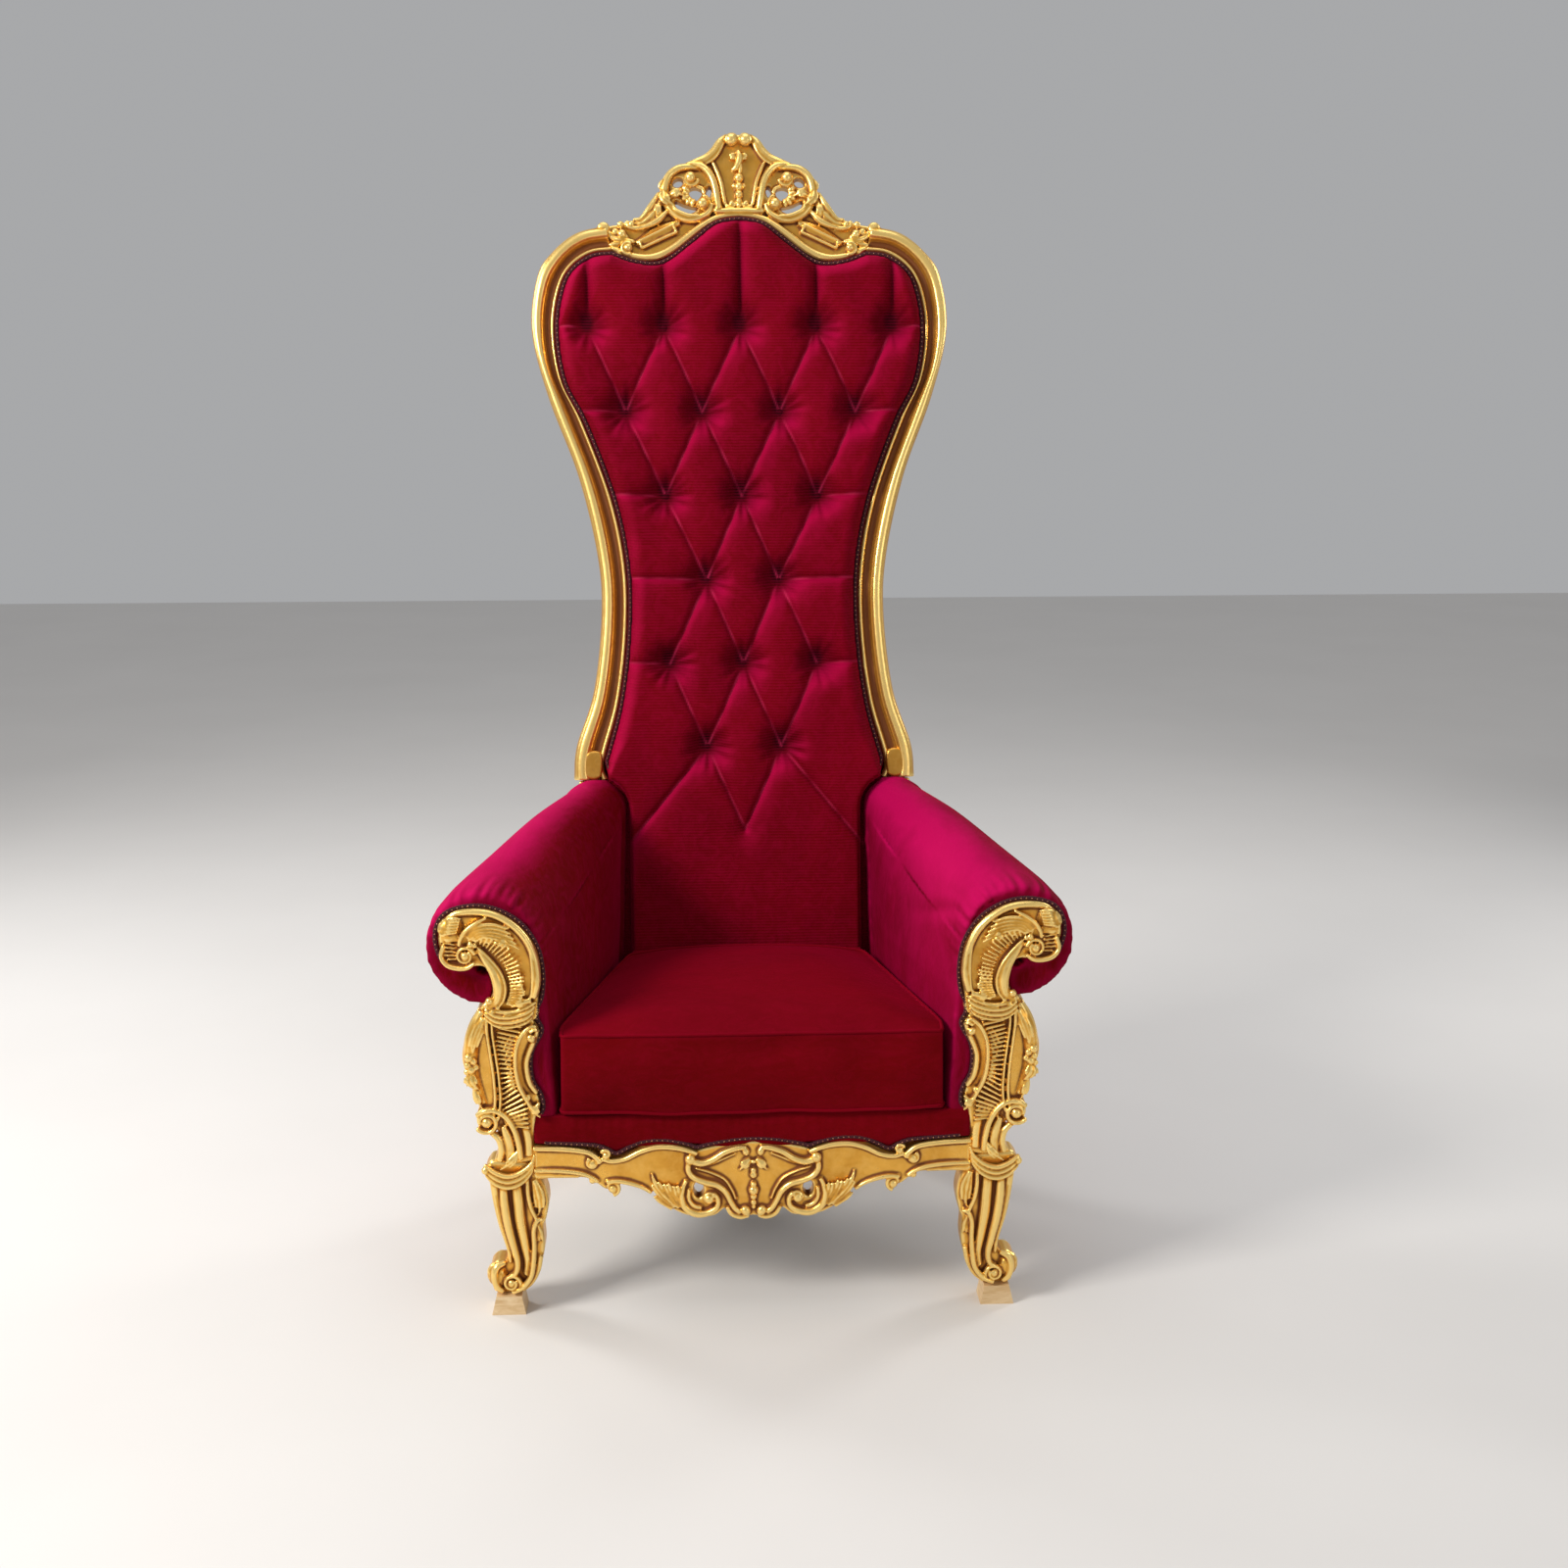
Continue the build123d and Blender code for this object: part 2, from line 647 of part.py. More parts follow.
PANEL_T = 4.0
panel_front = (
    ARM_OUTER_FRONT_X + FIT,
    ARM_OUTER_FRONT_X + PANEL_T,
    RAIL_TOP_Z - 12,
    hook_height(ARM_OUTER_FRONT_X + PANEL_T, ARM_ROLL_FRONT) - 1,
)
panel_back_x = at_end(ARM_OUTER_FRONT_X, ARM_OUTER_BACK_X)
panel_back = (
    panel_back_x + FIT,
    panel_back_x + PANEL_T,
    RAIL_TOP_Z - 12,
    hook_height(panel_back_x + PANEL_T, end_roll) - 1,
)
outside_arm = tapered_bar(panel_front, panel_back, ARM_FRONT_Y, ARM_END_Y)
outside_arm = outside_arm - behind_back(BACK_FRAME_T) - nodes["right_side_rail"] - nodes["right_back_leg"]
outside_arm = outside_arm - nodes["right_arm_pad"]
pair("outside_arm", single(outside_arm))


def arm_gimp():
    """Braid that lies on the velvet along the scroll's outer edge."""
    inner = [(349, POST_TOP_Z), (337, 580), (343, 629), (376, 676), (438, 699), (484, 682), (496, 647)]
    outer = [(343, POST_TOP_Z), (334, 580), (338, 631), (372, 681), (438, 705), (489, 687), (502, 647)]
    face = outline(
        inner,
        [inner[-1], outer[-1]],
        list(reversed(outer)),
        [outer[0], inner[0]],
    )
    return front_plate(face, ARM_FRONT_Y - GIMP_T, GIMP_T)


pair("arm_gimp", single(arm_gimp() - nodes["right_arm_scroll"] - nodes["right_arm_post"]))

# ---- seat ----
BAND_FRONT_Y = APRON_FRONT_Y + 1.0
BAND_BACK_Y = ARM_FRONT_Y - 1.5
BAND_HALF = 341.0
BAND_BOTTOM_Z = 278.0
band = block((-BAND_HALF, BAND_HALF), (BAND_FRONT_Y, BAND_BACK_Y), (BAND_BOTTOM_Z, DECK_TOP_Z))
nodes["seat_front_band"] = single(band - nodes["front_apron"])
gimp_y = (BAND_FRONT_Y - GIMP_T, BAND_FRONT_Y)
gimp_z = (RAIL_TOP_Z + 2.5, RAIL_TOP_Z + 2.5 + GIMP_W)
seat_gimp = block((-BAND_HALF, BAND_HALF), gimp_y, gimp_z)
for neighbour in ("front_apron", "right_arm_post", "left_arm_post"):
    seat_gimp = seat_gimp - nodes[neighbour]
nodes["seat_gimp"] = single(seat_gimp)

deck_front_y = BAND_BACK_Y


def deck_x(y):
    return side_x(y, ARM_INNER_FRONT_X, ARM_INNER_BACK_X) - 1.0


DECK_BACK_Y = 60.0
deck_plan = [
    (-deck_x(deck_front_y), deck_front_y),
    (deck_x(deck_front_y), deck_front_y),
    (PAD_LOW_HALF, DECK_BACK_Y),
    (-PAD_LOW_HALF, DECK_BACK_Y),
]
deck = plan_prism(deck_plan, DECK_BOTTOM_Z, DECK_TOP_Z) - behind_back(-PAD_PROUD - 0.5)
nodes["seat_deck"] = single(deck)

# Jute webbing: straps from front to back, and straps across that lie on top of them.
long_straps = []
long_y = (CROSS_FRONT_Y + 5, BACK_LEG_FRONT_Y + 20)
for x in (-190, -95, 0, 95, 190):
    across = (x - STRAP_W / 2, x + STRAP_W / 2)
    long_straps.append(block(across, long_y, (RAIL_TOP_Z, RAIL_TOP_Z + STRAP_T)))
cross_straps = []
cross_z = (RAIL_TOP_Z + STRAP_T, RAIL_TOP_Z + 2 * STRAP_T)
for y in (-260, -170, -80, 10):
    half = rail_inner(y + STRAP_W / 2) + 12
    cross_straps.append(block((-half, half), (y - STRAP_W / 2, y + STRAP_W / 2), cross_z))
nodes["seat_webbing"] = Compound(long_straps + cross_straps)

DUST_T = 1.5
dust_plan = [
    (-rail_inner(LEG_BACK_Y) - 20, LEG_BACK_Y + 1),
    (rail_inner(LEG_BACK_Y) + 20, LEG_BACK_Y + 1),
    (BACK_POST_IN_X - 4, 74),
    (-BACK_POST_IN_X + 4, 74),
]
nodes["dust_cover"] = plan_prism(dust_plan, RAIL_BOTTOM_Z - DUST_T, RAIL_BOTTOM_Z)
for side in ("right", "left"):
    nodes["dust_cover"] = single(nodes["dust_cover"] - nodes[side + "_back_leg"])

# Loose cushion: a velvet cover over one block of foam.
cushion_top_z = CUSHION_BOTTOM_Z + CUSHION_H


def cushion_block(shrink):
    """The cushion's box, tapered in plan, with its back face leaning like the back."""
    front_y = CUSHION_FRONT_Y + shrink
    back_y = 80.0
    front_half = CUSHION_FRONT_HALF - shrink
    slope = (CUSHION_BACK_HALF - CUSHION_FRONT_HALF) / (BACK_LEG_FRONT_Y - ARM_FRONT_Y)
    back_half = front_half + slope * (back_y - ARM_FRONT_Y)
    plan = [
        (-front_half, front_y),
        (front_half, front_y),
        (front_half, ARM_FRONT_Y),
        (back_half, back_y),
        (-back_half, back_y),
        (-front_half, ARM_FRONT_Y),
    ]
    body = plan_prism(plan, CUSHION_BOTTOM_Z + shrink, cushion_top_z - shrink)
    return body - behind_back(-PAD_PROUD - 1.0 - shrink)


foam = cushion_block(COVER_T)
nodes["cushion_foam"] = single(foam)
nodes["seat_cushion"] = single(cushion_block(0) - foam)

# ---- write one file for each piece ----
os.makedirs("parts", exist_ok=True)
for name, shape in nodes.items():
    export_step(shape, f"parts/{name}.step")
whole = Compound(list(nodes.values())).bounding_box()
print("box", [round(v, 2) for v in (*whole.min, *whole.max)])
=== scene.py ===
"""High-back throne armchair: the looks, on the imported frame. Lengths in the helpers are millimetres."""
import json
import math

import bmesh
import bpy
import numpy as np
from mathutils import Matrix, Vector
from mathutils.bvhtree import BVHTree

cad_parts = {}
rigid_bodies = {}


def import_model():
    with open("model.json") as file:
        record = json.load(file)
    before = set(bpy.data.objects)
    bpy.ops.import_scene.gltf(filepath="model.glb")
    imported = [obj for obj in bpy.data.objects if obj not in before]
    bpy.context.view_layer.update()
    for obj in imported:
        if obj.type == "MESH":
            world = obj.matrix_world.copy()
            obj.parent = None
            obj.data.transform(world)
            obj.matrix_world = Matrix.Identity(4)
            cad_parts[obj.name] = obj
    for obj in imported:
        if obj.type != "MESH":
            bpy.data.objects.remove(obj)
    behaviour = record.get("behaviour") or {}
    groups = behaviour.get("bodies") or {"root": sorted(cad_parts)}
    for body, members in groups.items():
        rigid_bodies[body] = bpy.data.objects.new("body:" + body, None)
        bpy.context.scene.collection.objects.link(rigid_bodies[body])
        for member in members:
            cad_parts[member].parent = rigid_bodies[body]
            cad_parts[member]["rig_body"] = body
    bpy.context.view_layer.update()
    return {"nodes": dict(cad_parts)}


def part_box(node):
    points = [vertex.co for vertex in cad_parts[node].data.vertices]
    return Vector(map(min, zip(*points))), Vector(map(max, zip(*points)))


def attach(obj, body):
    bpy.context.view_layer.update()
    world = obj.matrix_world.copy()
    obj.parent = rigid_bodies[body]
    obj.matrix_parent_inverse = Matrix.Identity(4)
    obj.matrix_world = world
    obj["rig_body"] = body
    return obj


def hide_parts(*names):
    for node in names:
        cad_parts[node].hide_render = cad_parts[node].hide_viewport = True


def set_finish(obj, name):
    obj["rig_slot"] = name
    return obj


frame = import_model()
MM = 0.001

# ---------------------------------------------------------------- the chair's two carving planes
FRONT_Y = -389
RAKE = math.atan(0.185)
BACK_ORIGIN = (141, 800)


def on_front(p):
    """(x, z, out) in mm on the show face of arms, legs and apron, to metres."""
    p = np.asarray(p, float)
    return np.stack([p[:, 0], FRONT_Y - p[:, 2], p[:, 1]], 1) * MM


def on_back(p):
    """(x, up the slope, out) in mm on the leaning back, to metres."""
    p = np.asarray(p, float)
    y = BACK_ORIGIN[0] + p[:, 1] * math.sin(RAKE) - p[:, 2] * math.cos(RAKE)
    z = BACK_ORIGIN[1] + p[:, 1] * math.cos(RAKE) + p[:, 2] * math.sin(RAKE)
    return np.stack([p[:, 0], y, z], 1) * MM


def as_is(p):
    return np.asarray(p, float) * MM


# ---------------------------------------------------------------- curves and clay
def spline(points, count):
    """A smooth run through the points, in any number of columns."""
    p = np.array(points, float)
    if len(p) == 2:
        return p[0] + (p[1] - p[0]) * np.linspace(0, 1, count)[:, None]
    q = np.vstack([2 * p[0] - p[1], p, 2 * p[-1] - p[-2]])
    t = np.linspace(0, len(p) - 1, count)
    i = np.minimum(t.astype(int), len(p) - 2)
    f = (t - i)[:, None]
    a, b, c, d = q[i], q[i + 1], q[i + 2], q[i + 3]
    return 0.5 * (2 * b + (c - a) * f + (2 * a - 5 * b + 4 * c - d) * f * f
                  + (3 * b - a - 3 * c + d) * f ** 3)


def closed_spline(points, count):
    p = [tuple(x) for x in points]
    run = spline(p[-2:] + p + p[:3], (len(p) + 5) * max(4, count // len(p)))
    each = len(run) / (len(p) + 4)
    return run[int(each * 2):int(each * (len(p) + 2))]


def tangents(p):
    t = np.gradient(p, axis=0)
    return t / np.maximum(np.linalg.norm(t, axis=1, keepdims=True), 1e-9)


class Clay:
    """Overlapping closed lumps, that one voxel remesh joins into a carving."""

    def __init__(self, fat=1.0):
        self.verts, self.faces, self.count, self.fat = [], [], 0, fat

    def add(self, verts, faces):
        self.verts.append(np.asarray(verts, float))
        self.faces += [[i + self.count for i in f] for f in faces]
        self.count += len(verts)

    def stroke(self, rows, steps=0, sides=10):
        """A swept lump. Each row is (u, v, out, half width, half height)."""
        rows = [tuple(r) for r in rows]
        run = np.array([r[:3] for r in rows], float)
        length = np.linalg.norm(np.diff(run, axis=0), axis=1).sum()
        steps = steps or int(max(6, min(60, length / 2.2)))
        s = spline(rows, steps)
        c, w, h = s[:, :3], np.maximum(s[:, 3] * self.fat, 0.3), np.maximum(s[:, 4], 0.3)
        t = tangents(c)
        side = np.cross(t, (0, 0, 1.0))
        side /= np.maximum(np.linalg.norm(side, axis=1, keepdims=True), 1e-9)
        up = np.cross(side, t)
        a = np.linspace(0, 2 * math.pi, sides, endpoint=False)
        ring = (c[:, None] + side[:, None] * (w[:, None] * np.cos(a))[..., None]
                + up[:, None] * (h[:, None] * np.sin(a))[..., None])
        ends = np.stack([c[0] - t[0] * w[0] * 0.6, c[-1] + t[-1] * w[-1] * 0.6])
        faces = []
        for i in range(steps - 1):
            for j in range(sides):
                k = (j + 1) % sides
                faces.append((i * sides + j, i * sides + k, (i + 1) * sides + k, (i + 1) * sides + j))
        first, last = steps * sides, steps * sides + 1
        for j in range(sides):
            k = (j + 1) % sides
            faces.append((first, k, j))
            faces.append((last, (steps - 1) * sides + j, (steps - 1) * sides + k))
        self.add(np.vstack([ring.reshape(-1, 3), ends]), faces)

    def ball(self, u, v, out, r, flat=1.0, long=1.0, turn=0.0):
        """An ellipsoid: flat squeezes it outwards, long stretches it along turn (degrees)."""
        rings, sides = 8, 12
        th = np.linspace(0, math.pi, rings + 1)[1:-1]
        ph = np.linspace(0, 2 * math.pi, sides, endpoint=False)
        x = (np.sin(th)[:, None] * np.cos(ph)).ravel() * r * long
        y = (np.sin(th)[:, None] * np.sin(ph)).ravel() * r
        z = np.repeat(np.cos(th), sides) * r * flat
        p = np.vstack([np.stack([x, y, z], 1), [(0, 0, r * flat), (0, 0, -r * flat)]])
        c, s = math.cos(math.radians(turn)), math.sin(math.radians(turn))
        p = np.stack([p[:, 0] * c - p[:, 1] * s + u, p[:, 0] * s + p[:, 1] * c + v, p[:, 2] + out], 1)
        n = rings - 1
        faces = [(i * sides + j, (i + 1) * sides + j, (i + 1) * sides + (j + 1) % sides,
                  i * sides + (j + 1) % sides) for i in range(n - 1) for j in range(sides)]
        faces += [(n * sides, j, (j + 1) % sides) for j in range(sides)]
        faces += [(n * sides + 1, (n - 1) * sides + (j + 1) % sides,
                   (n - 1) * sides + j) for j in range(sides)]
        self.add(p, faces)

    def spiral(self, u, v, out, r0, r1, start, sweep, w=3.0, h=4.0, eye=0.0, rise=2.0):
        """A volute from radius r0 in to r1, from start through sweep degrees, and its eye."""
        rows = []
        for f in np.linspace(0, 1, 13):
            a, r = math.radians(start + sweep * f), r0 + (r1 - r0) * f ** 0.8
            k = 1 - 0.35 * f
            rows.append((u + r * math.cos(a), v + r * math.sin(a), out + rise * f, w * k, h * k))
        self.stroke(rows, steps=44)
        if eye:
            self.ball(u, v, out + rise * 0.5, eye, flat=0.9)

    def leaf(self, path, widths, lobes=5, out=(0, 3, 1), thick=3.2, scallop=0.28, splay=0.0):
        """An acanthus leaf: reeds side by side along path, whose tips end one after another."""
        p = spline(path, 24)
        w = spline([(x,) for x in widths], 24)[:, 0]
        d = spline([(x,) for x in out], 24)[:, 0]
        t = tangents(p)
        n = np.stack([-t[:, 1], t[:, 0]], 1)
        for k in range(lobes):
            o = 0.0 if lobes == 1 else 2 * k / (lobes - 1) - 1
            last = int(23 * (1 - scallop * abs(o) ** 1.3))
            idx = np.linspace(0, last, 6).astype(int)
            f = np.linspace(0, 1, 6)
            half = np.maximum(w[idx] / max(lobes, 1.5) * 1.25, 1.0)
            half[-1] *= 0.55
            off = o * (w[idx] - half * 0.8) * (1 + splay * f)
            q = p[idx] + n[idx] * off[:, None]
            high = d[idx] - 1.6 * o * o * np.sin(math.pi * np.minimum(f + 0.15, 1)) - 0.5
            tall = thick * (0.85 - 0.25 * f)
            self.stroke([(q[i][0], q[i][1], high[i], half[i], tall[i]) for i in range(6)], steps=18, sides=8)

    def ribs(self, inner, outer, count, out=(0, 2), w=1.5, h=2.6, group=0, dip=0.2):
        """Thin reeds from one run to another; in groups, their tips make scallops."""
        a, b = spline(inner, count), spline(outer, count)
        for i in range(count):
            q = b[i]
            if group:
                f = ((i % group) + 0.5) / group
                q = a[i] + (b[i] - a[i]) * (1 - dip + dip * math.sin(math.pi * f))
            m = (a[i] + q) / 2
            self.stroke([(a[i][0], a[i][1], out[0], w * 0.8, h),
                         (m[0], m[1], (out[0] + out[1]) / 2 + 0.6, w, h), (q[0], q[1], out[1], w * 1.15, h)],
                        steps=9, sides=8)

    def plate(self, outline, low, high, holes=(), edge=3.0):
        """A slab between two depths, with rounded edges and holes through it."""
        cu = bpy.data.curves.new("slab", "CURVE")
        cu.dimensions, cu.fill_mode = "2D", "BOTH"
        for ring in [outline, *holes]:
            sp = cu.splines.new("POLY")
            sp.points.add(len(ring) - 1)
            for pt, r in zip(sp.points, ring):
                pt.co = (r[0], r[1], 0, 1)
            sp.use_cyclic_u = True
        cu.extrude, cu.bevel_depth, cu.bevel_resolution, cu.offset = (high - low) / 2 - edge, edge, 2, -edge
        ob = bpy.data.objects.new("slab", cu)
        me = bpy.data.meshes.new_from_object(ob)
        co = np.empty(len(me.vertices) * 3)
        me.vertices.foreach_get("co", co)
        co = co.reshape(-1, 3) + (0, 0, (high + low) / 2)
        self.add(co, [tuple(f.vertices) for f in me.polygons])
        bpy.data.objects.remove(ob)
        bpy.data.curves.remove(cu)
        bpy.data.meshes.remove(me)

    def mirror(self):
        """The same lumps again on the other side of x = 0."""
        v = np.vstack(self.verts) * (-1, 1, 1)
        n = len(v)
        faces = [tuple(reversed(f)) for f in self.faces]
        self.verts.append(v)
        self.faces += [[i + n for i in f] for f in faces]
        self.count += n


def new_object(name, verts, faces, smooth=True):
    me = bpy.data.meshes.new(name)
    me.from_pydata([tuple(v) for v in verts], [], [tuple(f) for f in faces])
    me.validate()
    if smooth:
        me.shade_smooth()
    ob = bpy.data.objects.new(name, me)
    bpy.context.scene.collection.objects.link(ob)
    return ob


def bake(ob):
    """Turns the modifiers of a mesh into its shape."""
    dg = bpy.context.evaluated_depsgraph_get()
    me = bpy.data.meshes.new_from_object(ob.evaluated_get(dg))
    old = ob.data
    ob.modifiers.clear()
    ob.data = me
    me.name = ob.name
    bpy.data.meshes.remove(old)
    me.shade_smooth()
    return ob


def verts_of(me):
    co = np.empty(len(me.vertices) * 3)
    me.vertices.foreach_get("co", co)
    return co.reshape(-1, 3)


def set_verts(me, co):
    me.vertices.foreach_set("co", np.asarray(co, float).ravel())
    me.update()


def edges_of(me):
    e = np.empty(len(me.edges) * 2, np.int64)
    me.edges.foreach_get("vertices", e)
    return e.reshape(-1, 2)


def relax(co, edges, rounds):
    deg = np.bincount(edges.ravel(), minlength=len(co))[:, None].clip(1)
    for _ in range(rounds):
        total = np.zeros_like(co)
        for a, b in ((0, 1), (1, 0)):
            for k in range(3):
                total[:, k] += np.bincount(edges[:, a], weights=co[edges[:, b], k], minlength=len(co))
        co = total / deg
    return co


def mark_hollows(ob, rounds=(4, 22), reach=(0.45, 2.2)):
    """Point attribute 'hollow': 0.5 on flats, towards 1 in carved recesses, towards 0 on ridges."""
    me = ob.data
    co = verts_of(me)
    e = edges_of(me)
    no = np.empty(len(co) * 3)
    me.vertex_normals.foreach_get("vector", no)
    no = no.reshape(-1, 3)
    value = np.full(len(co), 0.5)
    for n, r in zip(rounds, reach):
        dip = ((relax(co, e, n) - co) * no).sum(1) / (r * MM)
        value += 0.5 * np.clip(dip, -1, 1) * 0.6
    at = me.attributes.new("hollow", "FLOAT", "POINT")
    at.data.foreach_set("value", np.clip(value, 0, 1))


def carve(name, clay, place, voxel=1.6, smooth=2, body="frame", slot="gilt_wood", nodes=()):
    """Joins the clay, and stands it in for CAD nodes."""
    ob = new_object(name, np.vstack(clay.verts) * MM, clay.faces)
    m = ob.modifiers.new("join", "REMESH")
    m.mode, m.voxel_size = "VOXEL", voxel * MM
    s = ob.modifiers.new("soften", "SMOOTH")
    s.factor, s.iterations = 0.5, smooth
    bake(ob)
    set_verts(ob.data, place(verts_of(ob.data) / MM))
    face_out(ob)
    mark_hollows(ob)
    return own(ob, body, slot, nodes)


def face_out(ob):
    bm = bmesh.new()
    bm.from_mesh(ob.data)
    if bm.calc_volume(signed=True) < 0:
        bmesh.ops.reverse_faces(bm, faces=bm.faces)
        bm.to_mesh(ob.data)
    bm.free()


def own(ob, body, slot, nodes=()):
    if nodes:
        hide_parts(*nodes)
    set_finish(ob, slot)
    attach(ob, body)
    return ob


def twin(ob, name, nodes=()):
    """The mirror image of a right-hand piece, for the left."""
    me = ob.data.copy()
    set_verts(me, verts_of(me) * (-1, 1, 1))
    me.flip_normals()
    other = bpy.data.objects.new(name, me)
    bpy.context.scene.collection.objects.link(other)
    return own(other, ob["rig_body"], ob["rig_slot"], nodes)


def tube(name, points, r, place, body="frame", slot="gimp_braid", closed=False, sides=8, nodes=()):
    """A round cord of mesh along points, for welts and braid."""
    p = np.asarray(place(points), float)
    n = len(p)
    t = tangents(np.vstack([p[-1:], p, p[:1]]))[1:-1] if closed else tangents(p)
    up = np.zeros_like(p)
    ref = Vector((0, 0, 1)) if abs(t[0][2]) < 0.9 else Vector((0, 1, 0))
    u = Vector(t[0]).cross(ref).normalized()
    for i in range(n):
        tv = Vector(t[i])
        u = (u - tv * u.dot(tv)).normalized()
        up[i] = u
    side = np.cross(t, up)
    a = np.linspace(0, 2 * math.pi, sides, endpoint=False)
    ring = p[:, None] + r * MM * (up[:, None] * np.cos(a)[:, None] + side[:, None] * np.sin(a)[:, None])
    faces = []
    for i in range(n if closed else n - 1):
        m = (i + 1) % n
        for j in range(sides):
            k = (j + 1) % sides
            faces.append((i * sides + j, i * sides + k, m * sides + k, m * sides + j))
    if not closed:
        faces += [tuple(range(sides))[::-1], tuple((n - 1) * sides + j for j in range(sides))]
    ob = new_object(name, ring.reshape(-1, 3), faces)
    face_out(ob)
    return own(ob, body, slot, nodes) if body else ob


# ---------------------------------------------------------------- materials
# painted light: the direction, up and to the left towards the key light, in which the velvet is painted
# magenta
PAINTED_LIGHT_DIR = (-0.56, -0.22, 0.80)


class Finish:
    """A node material, built up from a Principled shader."""

    def __init__(self, name):
        self.mat = bpy.data.materials.new(name)
        self.mat.use_nodes = True
        self.tree = self.mat.node_tree
        self.bsdf = self.tree.nodes["Principled BSDF"]
        self.at = self.node("TexCoord").outputs["Object"]

    def node(self, kind, props=(), **inputs):
        n = self.tree.nodes.new("ShaderNode" + kind)
        for k, v in dict(props).items():
            setattr(n, k, v)
        for k, v in inputs.items():
            self.put(n.inputs[int(k[1:]) if k[0] == "i" and k[1:].isdigit() else k.replace("_", " ")], v)
        return n

    def put(self, socket, v):
        if isinstance(v, bpy.types.NodeSocket):
            self.tree.links.new(v, socket)
        else:
            socket.default_value = v

    def set(self, **inputs):
        for k, v in inputs.items():
            self.put(self.bsdf.inputs[k.replace("_", " ")], v)

    def stretch(self, x=1, y=1, z=1, turn=(0, 0, 0)):
        return self.node("Mapping", Vector=self.at, Scale=(x, y, z), Rotation=turn).outputs[0]

    def noise(self, scale, detail=4, rough=0.55, at=None, warp=0.0):
        return self.node("TexNoise", Vector=at or self.at, Scale=scale, Detail=detail, Roughness=rough,
                         Distortion=warp).outputs["Fac"]

    def wave(self, scale, at=None, axis="X", warp=0.0, kind="SIN", detail=1.0):
        return self.node("TexWave", dict(bands_direction=axis, wave_profile=kind), Vector=at or self.at,
                         Scale=scale, Distortion=warp, Detail=detail).outputs["Fac"]

    def ramp(self, fac, stops):
        n = self.node("ValToRGB", Fac=fac)
        e = n.color_ramp.elements
        while len(e) < len(stops):
            e.new(0.5)
        for el, (pos, col) in zip(e, stops):
            el.position = pos
            el.color = (col, col, col, 1) if isinstance(col, (int, float)) else (*col, 1)
        return n.outputs["Color"]

    def mix(self, fac, a, b, how="MIX"):
        n = self.node("Mix", dict(data_type="RGBA", blend_type=how))
        for i, v in ((0, fac), (6, a), (7, b)):
            self.put(n.inputs[i], (*v, 1) if isinstance(v, tuple) and len(v) == 3 else v)
        return n.outputs[2]

    def math(self, how, a, b=0.0, c=0.0):
        n = self.node("Math", dict(operation=how))
        for i, v in enumerate((a, b, c)):
            self.put(n.inputs[i], v)
        return n.outputs[0]

    def attribute(self, name):
        return self.node("Attribute", dict(attribute_name=name)).outputs["Fac"]

    def bump(self, height, depth, strength=1.0, normal=None):
        n = self.node("Bump", Height=height, Distance=depth * MM, Strength=strength)
        if normal:
            self.put(n.inputs["Normal"], normal)
        return n.outputs["Normal"]


def gilt(name, leaf=(0.90, 0.49, 0.085), deep=(0.64, 0.29, 0.030), glaze=(0.17, 0.040, 0.006), carved=True):
    """Aged leaf over red-brown ground: glaze in the recesses, painted highlight in brighter gold on the
    ridges.
    """
    f = Finish(name)
    tone = f.ramp(f.noise(9, 5, 0.6, warp=0.6), [(0.32, 0.0), (0.66, 1.0)])
    col = f.mix(tone, deep, leaf)
    col = f.mix(f.ramp(f.noise(70, 3), [(0.45, 0.0), (0.8, 0.35)]), col, (0.98, 0.62, 0.17))
    grain = f.noise(240, 3)
    if carved:
        hollow = f.attribute("hollow")
        speck = f.math("MULTIPLY_ADD", f.noise(130, 4), 0.16, -0.08)
        hollow = f.math("ADD", hollow, speck)
        # painted highlight: brighter gold on the ridges, where the hollow value is low
        ridge_highlight = f.ramp(hollow, [(0.22, 1.0), (0.42, 0.0)])
        col = f.mix(ridge_highlight, col, (1.0, 0.70, 0.23))
        cup = f.ramp(hollow, [(0.59, 0.0), (0.93, 0.95)])
        col = f.mix(cup, col, glaze)
        f.set(Metallic=f.ramp(hollow, [(0.62, 0.80), (0.92, 0.40)]))
        rough = f.math("MULTIPLY_ADD", cup, 0.32, f.math("MULTIPLY_ADD", tone, -0.08, 0.30))
    else:
        wear_and_highlight = f.ramp(f.noise(26, 6, 0.7), [(0.60, 0.0), (0.74, 0.8)])
        col = f.mix(wear_and_highlight, col, (0.40, 0.20, 0.05))
        f.set(Metallic=0.85)
        rough = f.math("MULTIPLY_ADD", wear_and_highlight, 0.2, f.math("MULTIPLY_ADD", tone, -0.08, 0.32))
    f.set(Base_Color=col, Roughness=f.math("MULTIPLY_ADD", grain, 0.10, rough))
    soft = f.bump(f.noise(46, 4, 0.5), 0.7, 0.6)
    f.set(Normal=f.bump(grain, 0.12, 0.5, soft))
    return f.mat


